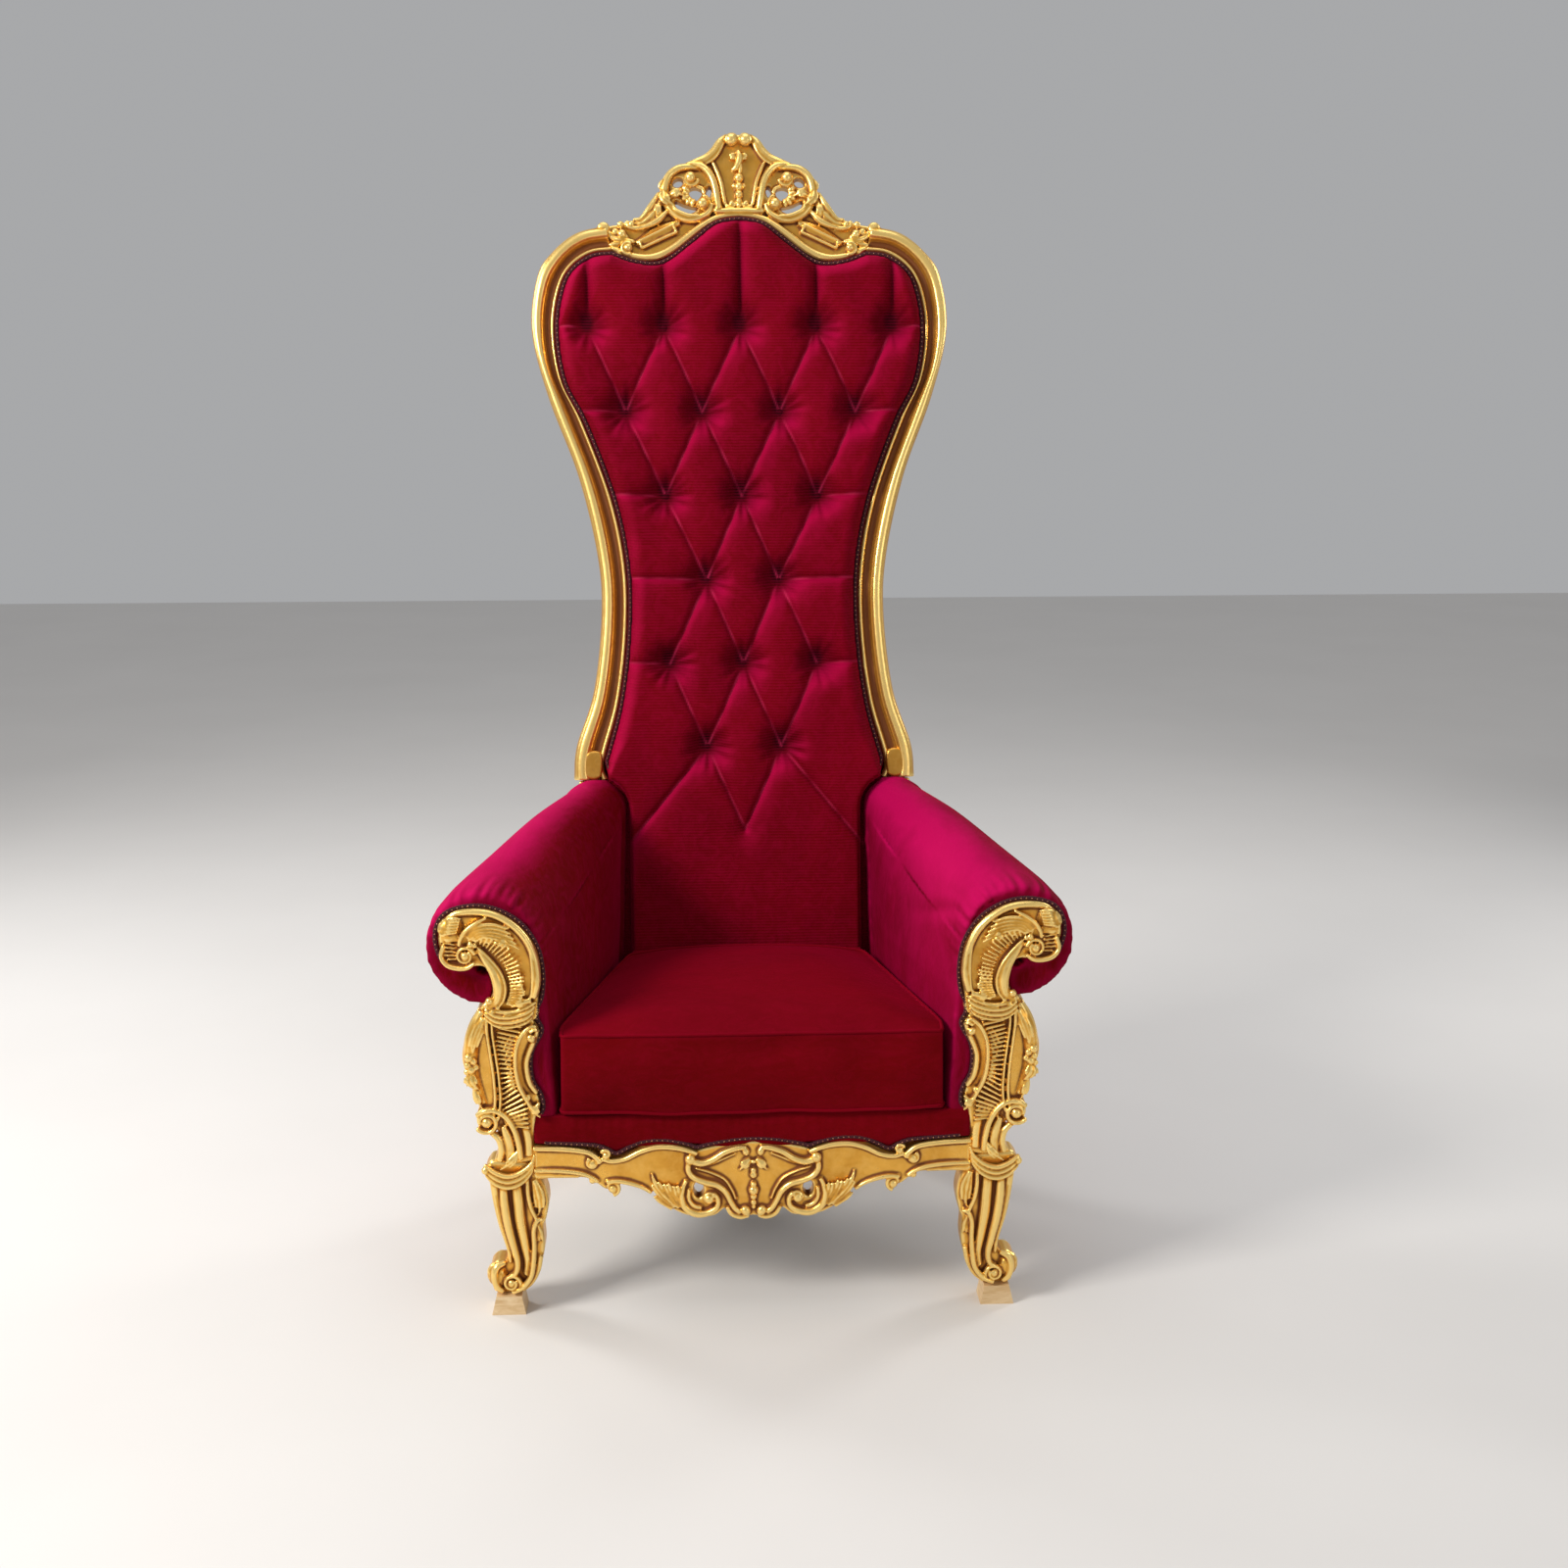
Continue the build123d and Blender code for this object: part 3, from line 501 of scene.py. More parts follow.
def velvet(name, base=(0.172, 0.0, 0.0026), light=(0.46, 0.001, 0.058), dark=(0.112, 0.0, 0.0012), ribs=None,
           brush=(1, 1, 1), sheen=(1.0, 0.008, 0.12), lit_side_amount=0.6):
    """Crushed nap: brush patches, fine ribs where given; painted light on top: a magenta highlight where the
    surface faces the key light, highlights on ridges and along pleats, near-black shade in hollows.
    """
    f = Finish(name)
    at = f.stretch(*brush)
    patch = f.ramp(f.noise(3.6, 3, 0.5, at, 0.8), [(0.30, 0.0), (0.72, 1.0)])
    streak = f.ramp(f.noise(38, 4, 0.6, at, 2.0), [(0.40, 0.0), (0.72, 1.0)])
    # painted highlight: the velvet turns magenta where its normal points up and to the left, towards the key
    # light
    facing = f.node("VectorMath", dict(operation="DOT_PRODUCT"), i0=f.node("NewGeometry").outputs["Normal"],
                    i1=PAINTED_LIGHT_DIR).outputs["Value"]
    lit_side = f.ramp(f.math("MULTIPLY_ADD", f.noise(7, 3, 0.6, at, 1.4), 0.34, f.math("ADD", facing, -0.17)),
                  [(0.42, 0.0), (0.62, 0.28 * lit_side_amount), (0.98, 0.95 * lit_side_amount)])
    col = f.mix(patch, dark, base)
    col = f.mix(f.math("MULTIPLY", streak, 0.14), col, light)
    col = f.mix(lit_side, col, light)
    # painted shade: near black where the hollow value is high, in recesses and in the painted pits and seams
    # of the back
    crease = f.attribute("hollow")
    pit_shade = f.ramp(crease, [(0.57, 0.0), (0.95, 0.94)])
    col = f.mix(pit_shade, col, (0.012, 0.0, 0.0005))
    # painted highlight: lighter colour on ridges, where the hollow value is low
    col = f.mix(f.ramp(crease, [(0.18, 0.16), (0.44, 0.0)]), col, light)
    # painted highlight: thin pink lines along the pleats of the back, from the 'crease' attribute
    wear_and_highlight = f.attribute("crease")
    col = f.mix(f.math("MULTIPLY", wear_and_highlight, 0.62), col, (0.62, 0.03, 0.11))
    pile = f.noise(900, 2)
    normal = f.bump(pile, 0.5, 0.35)
    normal = f.bump(streak, 0.5, 0.5, normal)
    if ribs:
        line = f.wave(ribs, axis="Z", warp=0.6)
        normal = f.bump(line, 0.35, 0.5, normal)
        col = f.mix(f.math("MULTIPLY", line, 0.16), col, light)
    f.set(Base_Color=col, Roughness=f.math("MULTIPLY_ADD", patch, -0.10, 0.85), Normal=normal)
    f.set(Sheen_Weight=0.34, Sheen_Roughness=0.28, Sheen_Tint=(*sheen, 1),
          Specular_IOR_Level=0.05)
    return f.mat


def wood(name, light, dark, grain=(30, 30, 3), rough=0.55):
    f = Finish(name)
    at = f.stretch(*grain)
    rings = f.noise(3.2, 6, 0.6, at, 0.8)
    col = f.mix(f.ramp(rings, [(0.36, 0.0), (0.66, 1.0)]), dark, light)
    fine = f.noise(22, 3, 0.5, at)
    col = f.mix(f.math("MULTIPLY", fine, 0.25), col, dark)
    f.set(Base_Color=col, Roughness=f.math("MULTIPLY_ADD", rings, 0.2, rough - 0.1),
          Normal=f.bump(fine, 0.25, 0.5))
    return f.mat


def cloth(name, light, dark, weave=420, rough=0.85, depth=0.3):
    f = Finish(name)
    warp = f.wave(weave, axis="X", warp=0.4)
    weft = f.wave(weave, axis="Y", warp=0.4)
    rise = f.wave(weave, axis="Z", warp=0.4)
    knit = f.math("MULTIPLY", f.math("ADD", f.math("ADD", warp, weft), rise), 0.34)
    col = f.mix(f.math("MULTIPLY_ADD", knit, 0.7, f.math("MULTIPLY", f.noise(30, 4), 0.3)), dark, light)
    f.set(Base_Color=col, Roughness=f.math("MULTIPLY_ADD", knit, -0.1, rough),
          Normal=f.bump(knit, depth, 0.7))
    return f.mat


def steel(name):
    f = Finish(name)
    blot = f.noise(120, 4)
    f.set(Base_Color=f.mix(blot, (0.30, 0.29, 0.28), (0.62, 0.61, 0.60)), Metallic=1.0,
          Roughness=f.math("MULTIPLY_ADD", blot, 0.25, 0.28), Normal=f.bump(f.noise(500, 2), 0.05, 0.5))
    return f.mat


GILT = gilt("gilt_carved")
GILT_PLAIN = gilt("gilt_plain", leaf=(0.84, 0.46, 0.09), deep=(0.58, 0.27, 0.035), carved=False)
# three copies of the velvet that differ in brush direction and in painted light: the arms carry the most and
# pinkest lit-side highlight, the seat the least
VELVET_BACK = velvet("velvet_back", ribs=60, lit_side_amount=0.75)
VELVET_ARM = velvet("velvet_arm", light=(0.52, 0.002, 0.095), brush=(1.6, 1.0, 0.55), lit_side_amount=0.85)
VELVET_SEAT = velvet("velvet_seat", light=(0.30, 0.0, 0.020), brush=(0.7, 1.4, 1.6), lit_side_amount=0.32)
BRAID = cloth("braid", (0.085, 0.003, 0.012), (0.018, 0.0, 0.003), weave=260, depth=0.6)
BLOCK_WOOD = wood("block_wood", (0.86, 0.66, 0.40), (0.62, 0.40, 0.18), grain=(6, 6, 24), rough=0.45)
FRAME_WOOD = wood("frame_wood", (0.64, 0.46, 0.27), (0.40, 0.25, 0.12))
JUTE = cloth("jute", (0.60, 0.44, 0.24), (0.32, 0.21, 0.10), weave=330, depth=0.8)
CAMBRIC = cloth("cambric", (0.035, 0.034, 0.036), (0.008, 0.008, 0.009), weave=900, rough=0.9, depth=0.15)
STEEL = steel("bolt_steel")
STUD = gilt("stud_bronze", leaf=(0.42, 0.20, 0.14), deep=(0.22, 0.08, 0.06), carved=False)


def dress(ob, mat):
    ob.data.materials.clear()
    ob.data.materials.append(mat)
    return ob


# ---------------------------------------------------------------- camera, floor and light
def look(ob, at, heading, down, roll=0.0):
    """Aims a camera or light: heading in degrees from +Y towards +X, down in degrees."""
    ob.location = at
    ob.rotation_mode = "XYZ"
    ob.rotation_euler = (math.radians(90 - down), math.radians(roll), math.radians(-heading))


LENS_PX = 1850
cam = bpy.data.objects.new("camera", bpy.data.cameras.new("camera"))
cam.data.sensor_width = 36
cam.data.lens = LENS_PX / 1600 * 36
cam.data.clip_start, cam.data.clip_end = 0.05, 60
look(cam, (-0.059, -3.132, 1.533), 2.33, 13.04, 0.12)
bpy.context.scene.collection.objects.link(cam)
bpy.context.scene.camera = cam

floor = new_object("floor", [(-9, -9, 0), (9, -9, 0), (9, 9, 0), (-9, 9, 0)], [(0, 1, 2, 3)], smooth=False)
ground = Finish("floor_pale")
haze = ground.noise(1.4, 4)
ground.set(Base_Color=ground.mix(haze, (0.70, 0.68, 0.66), (0.76, 0.74, 0.72)),
           Roughness=ground.math("MULTIPLY_ADD", haze, 0.1, 0.75))
dress(floor, ground.mat)


def softbox(name, at, heading, down, size, power, colour=(1, 1, 1)):
    lamp = bpy.data.lights.new(name, "AREA")
    lamp.shape, lamp.size, lamp.size_y, lamp.energy, lamp.color = "RECTANGLE", size[0], size[1], power, colour
    ob = bpy.data.objects.new(name, lamp)
    look(ob, at, heading, down)
    bpy.context.scene.collection.objects.link(ob)


softbox("key", (-3.0, -2.0, 2.9), 56, 29, (1.2, 1.2), 135, (1.0, 0.965, 0.91))
softbox("fill", (2.8, -2.9, 1.6), -44, 10, (1.2, 2.0), 14)
softbox("rim_left", (-2.8, 1.4, 2.4), 118, 25, (0.7, 2.0), 42)
softbox("rim_right", (2.8, 1.6, 2.4), -120, 25, (0.7, 2.0), 30)
softbox("top", (0, -0.2, 4.0), 0, 90, (2.0, 2.0), 22)
world = bpy.data.worlds.new("studio")
world.use_nodes = True
world.node_tree.nodes["Background"].inputs[0].default_value = (0.93, 0.94, 0.96, 1)
world.node_tree.nodes["Background"].inputs[1].default_value = 0.42
bpy.context.scene.world = world

# ---------------------------------------------------------------- carved fronts of the arms
SCROLL_OUT = [(496, 647), (491, 674), (475, 691), (440, 699), (407, 694), (376, 677), (356, 655), (343, 629),
              (338, 603), (337, 578), (341, 549), (350, 511)]
SCROLL_IN = [(429, 532), (417, 550), (411, 571), (415, 590), (428, 603), (450, 602), (470, 603), (487, 616)]

scroll = Clay()
scroll.plate(closed_spline(SCROLL_OUT + SCROLL_IN, 120), -50, -9, edge=4)
# rim that runs over the top and down the seat side
scroll.stroke([(490, 668, -8, 4, 5), (470, 690, -7, 5, 6), (438, 695, -6, 6, 7), (406, 690, -5, 6, 7),
               (378, 673, -5, 6, 7), (358, 650, -5, 6, 7), (346, 622, -4, 6, 7), (342, 598, -3, 6.5, 8),
               (342, 575, -2, 6.5, 9), (347, 553, -3, 5, 7)])
scroll.stroke([(353, 640, -3, 2, 3), (348, 612, 0, 3.4, 4), (347, 585, 1, 4.2, 5), (350, 560, 0, 3.2, 4),
               (356, 550, -2, 2, 3)])
# smooth C-moulding of the inside
scroll.stroke([(433, 634, -6, 4, 5), (420, 616, -3, 7.5, 7), (408, 597, -1, 9.5, 9), (402, 573, 0, 10, 10),
               (405, 552, -1, 8.5, 8), (415, 540, -3, 6, 6), (424, 536, -4, 4, 5)])
scroll.stroke([(432, 637, -3, 2, 3), (414, 619, 0, 2, 3.5), (398, 597, 2, 2, 4), (391, 573, 3, 2, 4),
               (395, 550, 2, 2, 3.5), (408, 534, -1, 2, 3)])
scroll.ball(418, 549, 0, 6.5, flat=1.1)
# volute and its eye
scroll.spiral(453, 624, -2, 15.5, 8, 170, -400, w=3.2, h=6, eye=7.5, rise=2)
scroll.stroke([(487, 640, -7, 4, 6), (491, 622, -6, 4, 6), (482, 609, -4, 4.5, 7), (466, 604, -2, 4.5, 7),
               (450, 605, 0, 4, 6), (438, 613, 1, 3, 5)])
# ribs of the dark hollow beside the volute
scroll.ribs([(467, 641), (468, 633), (468, 625), (467, 617)], [(487, 645), (488, 636), (486, 627),
                                                               (481, 618)], 5, out=(-7, -6), w=1.3, h=3)
# the bulging head leaf
scroll.leaf([(462, 652), (474, 656), (486, 655), (492, 643)], (5, 9, 9, 3), lobes=5, out=(-4, -1, -6),
            thick=5)
scroll.ball(476, 668, -11, 19, flat=0.75, long=1.15, turn=-35)
for k in range(6):
    z = 659 + 5.2 * k
    scroll.stroke([(491 - 2.2 * k, z - 2, -3, 1.2, 2), (479 - 2 * k, z + 3, 3.5, 2.0, 2.6),
                   (464 - 1.5 * k, z + 4 - k * 0.6, 1, 1.2, 2)])
# leaves that rise from the volute and sweep down over the shoulder
scroll.stroke([(462, 642, 0, 3, 4), (458, 655, 3, 3.6, 4.5), (449, 668, 4, 3.6, 4.5), (434, 679, 3, 3, 4),
               (418, 686, 0, 2, 3)])
for k in range(5):
    scroll.stroke([(452 - 4 * k, 657 - 2.2 * k, 1, 2.2, 3.2), (434 - 3 * k, 673 - 4.2 * k, 2.5, 3.0, 4),
                   (408 - 3.2 * k, 676 - 6.6 * k, 0.5, 2.6, 3.4),
                   (384 - 4.2 * k, 668 - 8.5 * k, -2, 1.5, 2.4)])
for u, v, turn in ((436, 652, 25), (416, 648, 10), (393, 642, -12)):
    c, s = math.cos(math.radians(turn)), math.sin(math.radians(turn))
    scroll.leaf([(u - 9 * c, v + 9 * s - 2), (u + 2 * c, v + 4), (u + 13 * c, v - 4 * s)][::-1], (3, 6, 4),
                lobes=3, out=(-1, 3, 1), thick=4)
scroll.ball(444, 643, 0, 5)
scroll.ball(437, 641, 0, 4)
# shell fan: scalloped ribs between the C-moulding and the rim
scroll.ribs([(429, 643), (409, 627), (393, 606), (386, 582), (386, 560), (392, 543)],
            [(424, 656), (391, 646), (370, 618), (361, 588), (360, 562), (366, 541)], 23, out=(-3, 2.5),
            w=1.7, h=4, group=4, dip=0.24)
# bands that wrap the neck
for k, (d, w) in enumerate(((0, 3.4), (2, 3.6), (3, 3.6), (1, 3.0))):
    z = 540 - 8 * k
    scroll.stroke([(345 + 2 * k, z + 4, -5 + d, 2.5, 4), (362, z - 4, d, w, 5), (385, z - 10, d + 1, w, 5),
                   (408, z - 8, d, w, 5), (424 + k, z + 1 + k, -3 + d, 2.5, 4)])
scroll.leaf([(352, 548), (368, 545), (384, 538)], (3, 6, 2), lobes=3, out=(0, 4, 2), thick=4)
scroll.leaf([(372, 528), (388, 526), (404, 522)], (3, 5, 2), lobes=3, out=(2, 5, 3), thick=4)
scroll.ball(413, 531, 1, 4.5)
scroll.ball(405, 538, 1, 4)
right_scroll = carve("right_arm_scroll_carving", scroll, on_front, nodes=("right_arm_scroll",))
left_scroll = twin(right_scroll, "left_arm_scroll_carving", ("left_arm_scroll",))

# ---------------------------------------------------------------- bowed posts
POST_OUT = [(428, 536), (443, 519), (456, 495), (465, 464), (466, 441), (461, 421), (457, 404), (449, 386),
            (442, 369), (447, 350), (446, 332), (431, 323), (416, 324), (410, 308), (413, 288), (418, 268)]
POST_IN = [(360, 268), (356, 300), (352, 342), (344, 362), (347, 384), (359, 406), (362, 440), (357, 466),
           (350, 478), (342, 496), (350, 512), (352, 528)]
post = Clay()
post.plate(closed_spline(POST_OUT + POST_IN, 140), -50, -10, edge=5)
# smooth outer roll, then the garland over it
post.stroke([(431, 528, -14, 8, 10), (441, 505, -13, 12, 12), (449, 478, -13, 13, 13),
             (452, 450, -14, 12, 13), (449, 420, -14, 10, 12), (442, 395, -14, 8, 10), (434, 372, -14, 6, 8)])
post.leaf([(428, 518), (438, 497), (446, 474), (447, 458)], (4, 9, 8, 3), lobes=4, out=(-3, 1, -2), thick=4)
for u, v, r in ((455, 452, 7), (447, 446, 6), (457, 440, 6), (451, 432, 7), (443, 436, 5), (459, 428, 5)):
    post.ball(u, v, -3, r, flat=0.9)
post.leaf([(452, 428), (450, 412), (440, 398)], (3, 9, 2), lobes=3, out=(-3, 2, -2), thick=4)
post.leaf([(446, 424), (458, 414), (459, 402)], (2, 6, 2), lobes=3, out=(-6, -2, -5), thick=4)
post.ball(446, 402, -4, 5)
post.leaf([(448, 402), (444, 382), (436, 362)], (3, 6, 2), lobes=3, out=(-5, -2, -6), thick=4)
# twin fillets
for shift, w in ((0, 2.8), (8.5, 2.2)):
    post.stroke([(422 - shift, 530, -6, w, 5), (424 - shift, 500, -3, w, 6), (420 - shift, 460, -2, w, 6),
                 (416 - shift, 420, -2, w, 6), (415 - shift, 380, -3, w, 6), (420 - shift, 345, -5, w, 5)])
# radiating ribs
post.ribs([(402, 524), (409, 492), (409, 460), (406, 425), (404, 385), (404, 350), (400, 336)],
          [(362, 520), (376, 484), (386, 456), (386, 425), (381, 400), (366, 366), (362, 330)], 27,
          out=(-7, -5), w=2.2, h=4.2)
# inner C-band with its volutes
post.stroke([(346, 503, -5, 2.5, 4), (356, 503, -3, 3.4, 5), (369, 490, -1, 4, 6), (378, 468, 0, 4, 7),
             (380, 436, 0, 4, 7), (376, 406, -1, 4, 6), (366, 382, -2, 3.6, 6), (353, 358, -4, 3, 5),
             (344, 348, -6, 2, 4)])
post.stroke([(344, 496, -10, 4, 6), (352, 474, -9, 5, 7), (360, 455, -9, 5, 7), (364, 436, -9, 5, 7),
             (360, 408, -9, 5, 7), (349, 388, -10, 4, 6)])
post.ball(354, 484, -2, 6.5, long=1.25, turn=40)
post.stroke([(344, 497, -2, 2.2, 4), (349, 499, 0, 2.6, 4), (355, 495, 1, 2.4, 4)])
post.ball(363, 382, -3, 5, long=1.4, turn=-50)
post.leaf([(362, 366), (351, 360), (347, 350)], (3, 7, 3), lobes=3, out=(-4, 1, -3), thick=4)
post.stroke([(345, 372, -6, 3, 5), (352, 366, -3, 3, 5), (362, 369, -2, 2.4, 4)])
# scroll at the outside, where post turns into leg
post.spiral(430, 341, -4, 19, 11, -35, -330, w=4.2, h=7, eye=9, rise=3)
post.stroke([(446, 352, -6, 4, 6), (432, 361, -4, 5, 7), (414, 360, -4, 5, 7), (398, 348, -4, 5, 7),
             (386, 326, -4, 5, 7), (380, 300, -4, 5, 7), (378, 276, -5, 4.6, 6)])
post.stroke([(424, 322, -8, 5, 6), (412, 310, -7, 6, 7), (408, 292, -7, 6, 7), (412, 272, -8, 5, 6)])
post.stroke([(404, 332, -7, 5, 6), (397, 308, -6, 8, 6), (395, 284, -7, 8, 5), (396, 268, -8, 6, 4)])
post.stroke([(372, 340, -10, 6, 5), (366, 310, -10, 7, 5), (365, 280, -10, 6, 5)])
right_post = carve("right_arm_post_carving", post, on_front, nodes=("right_arm_post",))
left_post = twin(right_post, "left_arm_post_carving", ("left_arm_post",))

# ---------------------------------------------------------------- front legs
LEG_OUT = [(419, 270), (433, 262), (438, 250), (431, 234), (428, 218), (424, 190), (413, 152), (407, 112),
           (409, 92), (424, 90), (435, 80), (437, 62), (433, 44), (426, 34)]
LEG_IN = [(388, 34), (374, 42), (362, 60), (351, 84), (345, 116), (346, 150), (341, 165), (336, 194),
          (341, 222), (352, 240), (358, 262)]
leg = Clay()
leg.plate(closed_spline(LEG_OUT + LEG_IN, 140), -58, -12, edge=6)
# cuff
for k in range(3):
    z = 262 - 9 * k
    leg.stroke([(437 - k, z + 2, -9, 3, 4), (420, z - 9, -3 + k, 4, 5), (400, z - 15, -1 + k, 4.4, 5.5),
                (380, z - 10, -3 + k, 4, 5), (362 + k, z + 4, -7, 3, 4.5), (356 + k, z + 18, -11, 2.4, 4)])
leg.ball(436, 255, -8, 7)
leg.leaf([(380, 292), (392, 274), (412, 258)], (2, 7, 3), lobes=3, out=(-4, 2, -1), thick=4)
# long central reed, grooves each side
leg.stroke([(408, 236, -7, 6, 7), (407, 200, -4, 7.4, 9), (402, 160, -2, 7, 9), (394, 122, -2, 6, 9),
            (389, 95, -2, 5.4, 8), (392, 76, -3, 5, 7), (402, 68, -3, 4, 6)])
leg.stroke([(424, 234, -12, 7, 8), (418, 196, -11, 8, 9), (412, 158, -11, 7, 9), (403, 118, -11, 5, 9),
            (401, 92, -11, 4, 8)])
leg.stroke([(388, 240, -9, 8, 7), (385, 204, -8, 9, 8), (383, 166, -8, 9, 8), (377, 126, -8, 8, 8),
            (372, 94, -8, 7, 8), (374, 70, -8, 7, 7)])
# inner lobes and the long rim that runs down to the foot scroll
leg.stroke([(369, 238, -8, 3, 5), (368, 214, -4, 3.4, 6), (364, 190, -4, 3.4, 6), (356, 168, -6, 3, 5)])
leg.leaf([(358, 236), (352, 212), (350, 190), (354, 172)], (4, 9, 8, 2), lobes=3, out=(-10, -6, -10), thick=5)
leg.stroke([(346, 168, -8, 3, 5), (355, 166, -5, 4, 6), (361, 150, -4, 4, 6.5), (361, 122, -3, 4, 7),
            (363, 94, -2, 4.4, 7), (368, 68, -2, 4.6, 7), (382, 49, -2, 4.6, 7), (399, 40, -3, 4, 6)])
leg.leaf([(356, 156), (351, 136), (350, 114)], (3, 5, 2), lobes=2, out=(-10, -8, -11), thick=5)
leg.stroke([(352, 100, -12, 5, 6), (357, 76, -12, 5, 6), (368, 54, -12, 5, 6), (384, 40, -12, 5, 6)])
# foot volute
leg.spiral(400, 56, -4, 17, 7, 260, -470, w=3.4, h=6.5, eye=6.5, rise=3)
leg.ball(424, 66, -17, 18, flat=0.95, long=1.25, turn=80)
leg.stroke([(411, 90, -10, 4, 6), (424, 84, -5, 6, 7), (428, 68, -3, 6, 8), (424, 50, -5, 6, 7),
            (416, 40, -8, 5, 6)])
right_leg = carve("right_front_leg_carving", leg, on_front, nodes=("right_front_leg",))
left_leg = twin(right_leg, "left_front_leg_carving", ("left_front_leg",))

# ---------------------------------------------------------------- apron
APRON_BACK = -29
apron = Clay()
top = [(0, 297), (40, 294), (78, 287), (92, 283), (105, 289), (140, 296), (176, 294), (200, 283), (222, 272),
       (246, 270), (262, 283), (300, 293), (357, 296)]
low = [(357, 236), (310, 238), (280, 238), (262, 232), (240, 216), (222, 226), (196, 226), (172, 216),
       (150, 198), (134, 180), (112, 168), (88, 164), (64, 166), (44, 180), (26, 170), (10, 164), (0, 165)]
right_half = [(0, 297), *spline(top[1:], 60).tolist(), *spline(low[:-1], 70).tolist(), (0, 165)]
full = right_half + [(-x, z) for x, z in reversed(right_half[1:-1])]
eye_hole = [(90 + 8.5 * math.cos(a), 212 + 15 * math.sin(a))
            for a in np.linspace(0, 2 * math.pi, 18, endpoint=False)]
apron.plate(full, APRON_BACK, 0, holes=[eye_hole, [(-x, z) for x, z in eye_hole]], edge=3)
half = Clay(1.15)
# raised top moulding, plain run and its end volutes
half.stroke([(357, 291, 1, 3.6, 4.5), (310, 290, 3, 4, 5), (272, 285, 4, 4, 5), (257, 276, 4, 4, 5),
             (250, 266, 4, 4.4, 5)])
half.ball(262, 263, 2, 8.5, flat=0.75)
half.spiral(262, 264, 3, 10, 4, 60, -330, w=2.6, h=3.5, rise=2)
half.ball(240, 277, 2, 6.5, flat=0.9)
half.spiral(240, 280, 3, 8.5, 4, 20, 320, w=2.4, h=3.5, rise=1)
half.stroke([(247, 272, 3, 3, 4), (230, 268, 4, 3.6, 5), (208, 272, 4, 3.8, 5), (184, 284, 4, 4, 5),
             (158, 291, 4, 4, 5), (130, 290, 4, 4, 5), (106, 284, 4, 3.6, 5), (92, 278, 3, 3, 4)])
# lower moulding of the straight part
half.stroke([(357, 252, 0, 3, 4), (318, 252, 2, 3.4, 4.5), (284, 248, 3, 3.4, 4.5), (264, 240, 3, 3, 4),
             (254, 232, 3, 3, 4)])
half.ball(263, 234, 2, 6, flat=0.8)
half.stroke([(357, 244, -4, 6, 5), (318, 244, -3, 6, 5), (286, 242, -4, 5, 5)])
half.ball(230, 218, 0, 8, flat=0.9)
half.spiral(231, 220, 1, 13, 8, -100, -250, w=3, h=5, rise=1)
half.stroke([(240, 231, 1, 3, 5), (222, 232, 2, 3.6, 5), (202, 228, 2, 3.6, 5), (182, 220, 1, 3.2, 5),
             (168, 210, 0, 3, 4)])
# acanthus fan below the shoulder
half.leaf([(128, 186), (146, 206), (160, 226), (166, 244)], (4, 7, 8, 4), lobes=3, out=(2, 7, 3), thick=5)
half.leaf([(122, 184), (134, 206), (142, 226), (143, 240)], (4, 5, 5, 3), lobes=2, out=(3, 7, 3), thick=5)
half.leaf([(112, 182), (122, 202), (127, 222), (126, 236)], (4, 5, 5, 3), lobes=2, out=(3, 7, 3), thick=5)
half.leaf([(134, 180), (154, 198), (172, 218)], (3, 5, 3), lobes=2, out=(0, 3, 0), thick=5)
# loop that holds the pierced eye
half.stroke([(72, 198, 5, 5.5, 6), (64, 206, 5, 3.4, 6), (58, 196, 5, 3.6, 6), (62, 182, 5, 4.2, 6),
             (78, 173, 5, 5, 6), (96, 173, 5, 5.6, 6), (112, 184, 4, 5.4, 6), (118, 202, 4, 4.4, 6),
             (115, 220, 3, 3.4, 5), (110, 230, 2, 3, 4)])
half.stroke([(86, 182, 2, 3, 4), (98, 186, 2, 3.4, 5), (106, 198, 2, 3.2, 5), (106, 214, 1, 3, 4)])
half.ball(73, 199, 6, 8.5, flat=0.9)
half.spiral(73, 199, 5, 12, 7, 200, -250, w=2.8, h=4, rise=1)
# cartouche border: shoulder, corner and lower reach
half.ball(12, 281, 5, 6, long=1.2, turn=80)
half.stroke([(12, 288, 4, 3, 4), (28, 287, 5, 4.2, 5.5), (48, 280, 5, 4.4, 6), (66, 268, 5, 4.6, 6),
             (84, 262, 5, 5, 6), (100, 266, 5, 5.4, 6)])
half.ball(103, 269, 5, 9, flat=0.85)
half.stroke([(106, 262, 4, 4, 5), (106, 248, 4, 4.4, 5.5), (97, 236, 4, 4.6, 6), (80, 228, 4, 4.8, 6),
             (60, 222, 4, 4.6, 6), (46, 210, 4, 4.4, 6), (38, 194, 4, 4, 6), (30, 180, 4, 4, 5),
             (22, 174, 4, 4, 5)])
half.stroke([(94, 252, 2, 1.6, 3), (70, 244, 2, 1.8, 3), (48, 232, 2, 1.8, 3), (36, 214, 2, 1.8, 3),
             (29, 196, 2, 1.6, 3)])
half.stroke([(88, 256, 1, 1.4, 2.6), (68, 259, 1, 1.6, 3), (48, 268, 1, 1.6, 3), (30, 276, 1, 1.4, 2.6)])
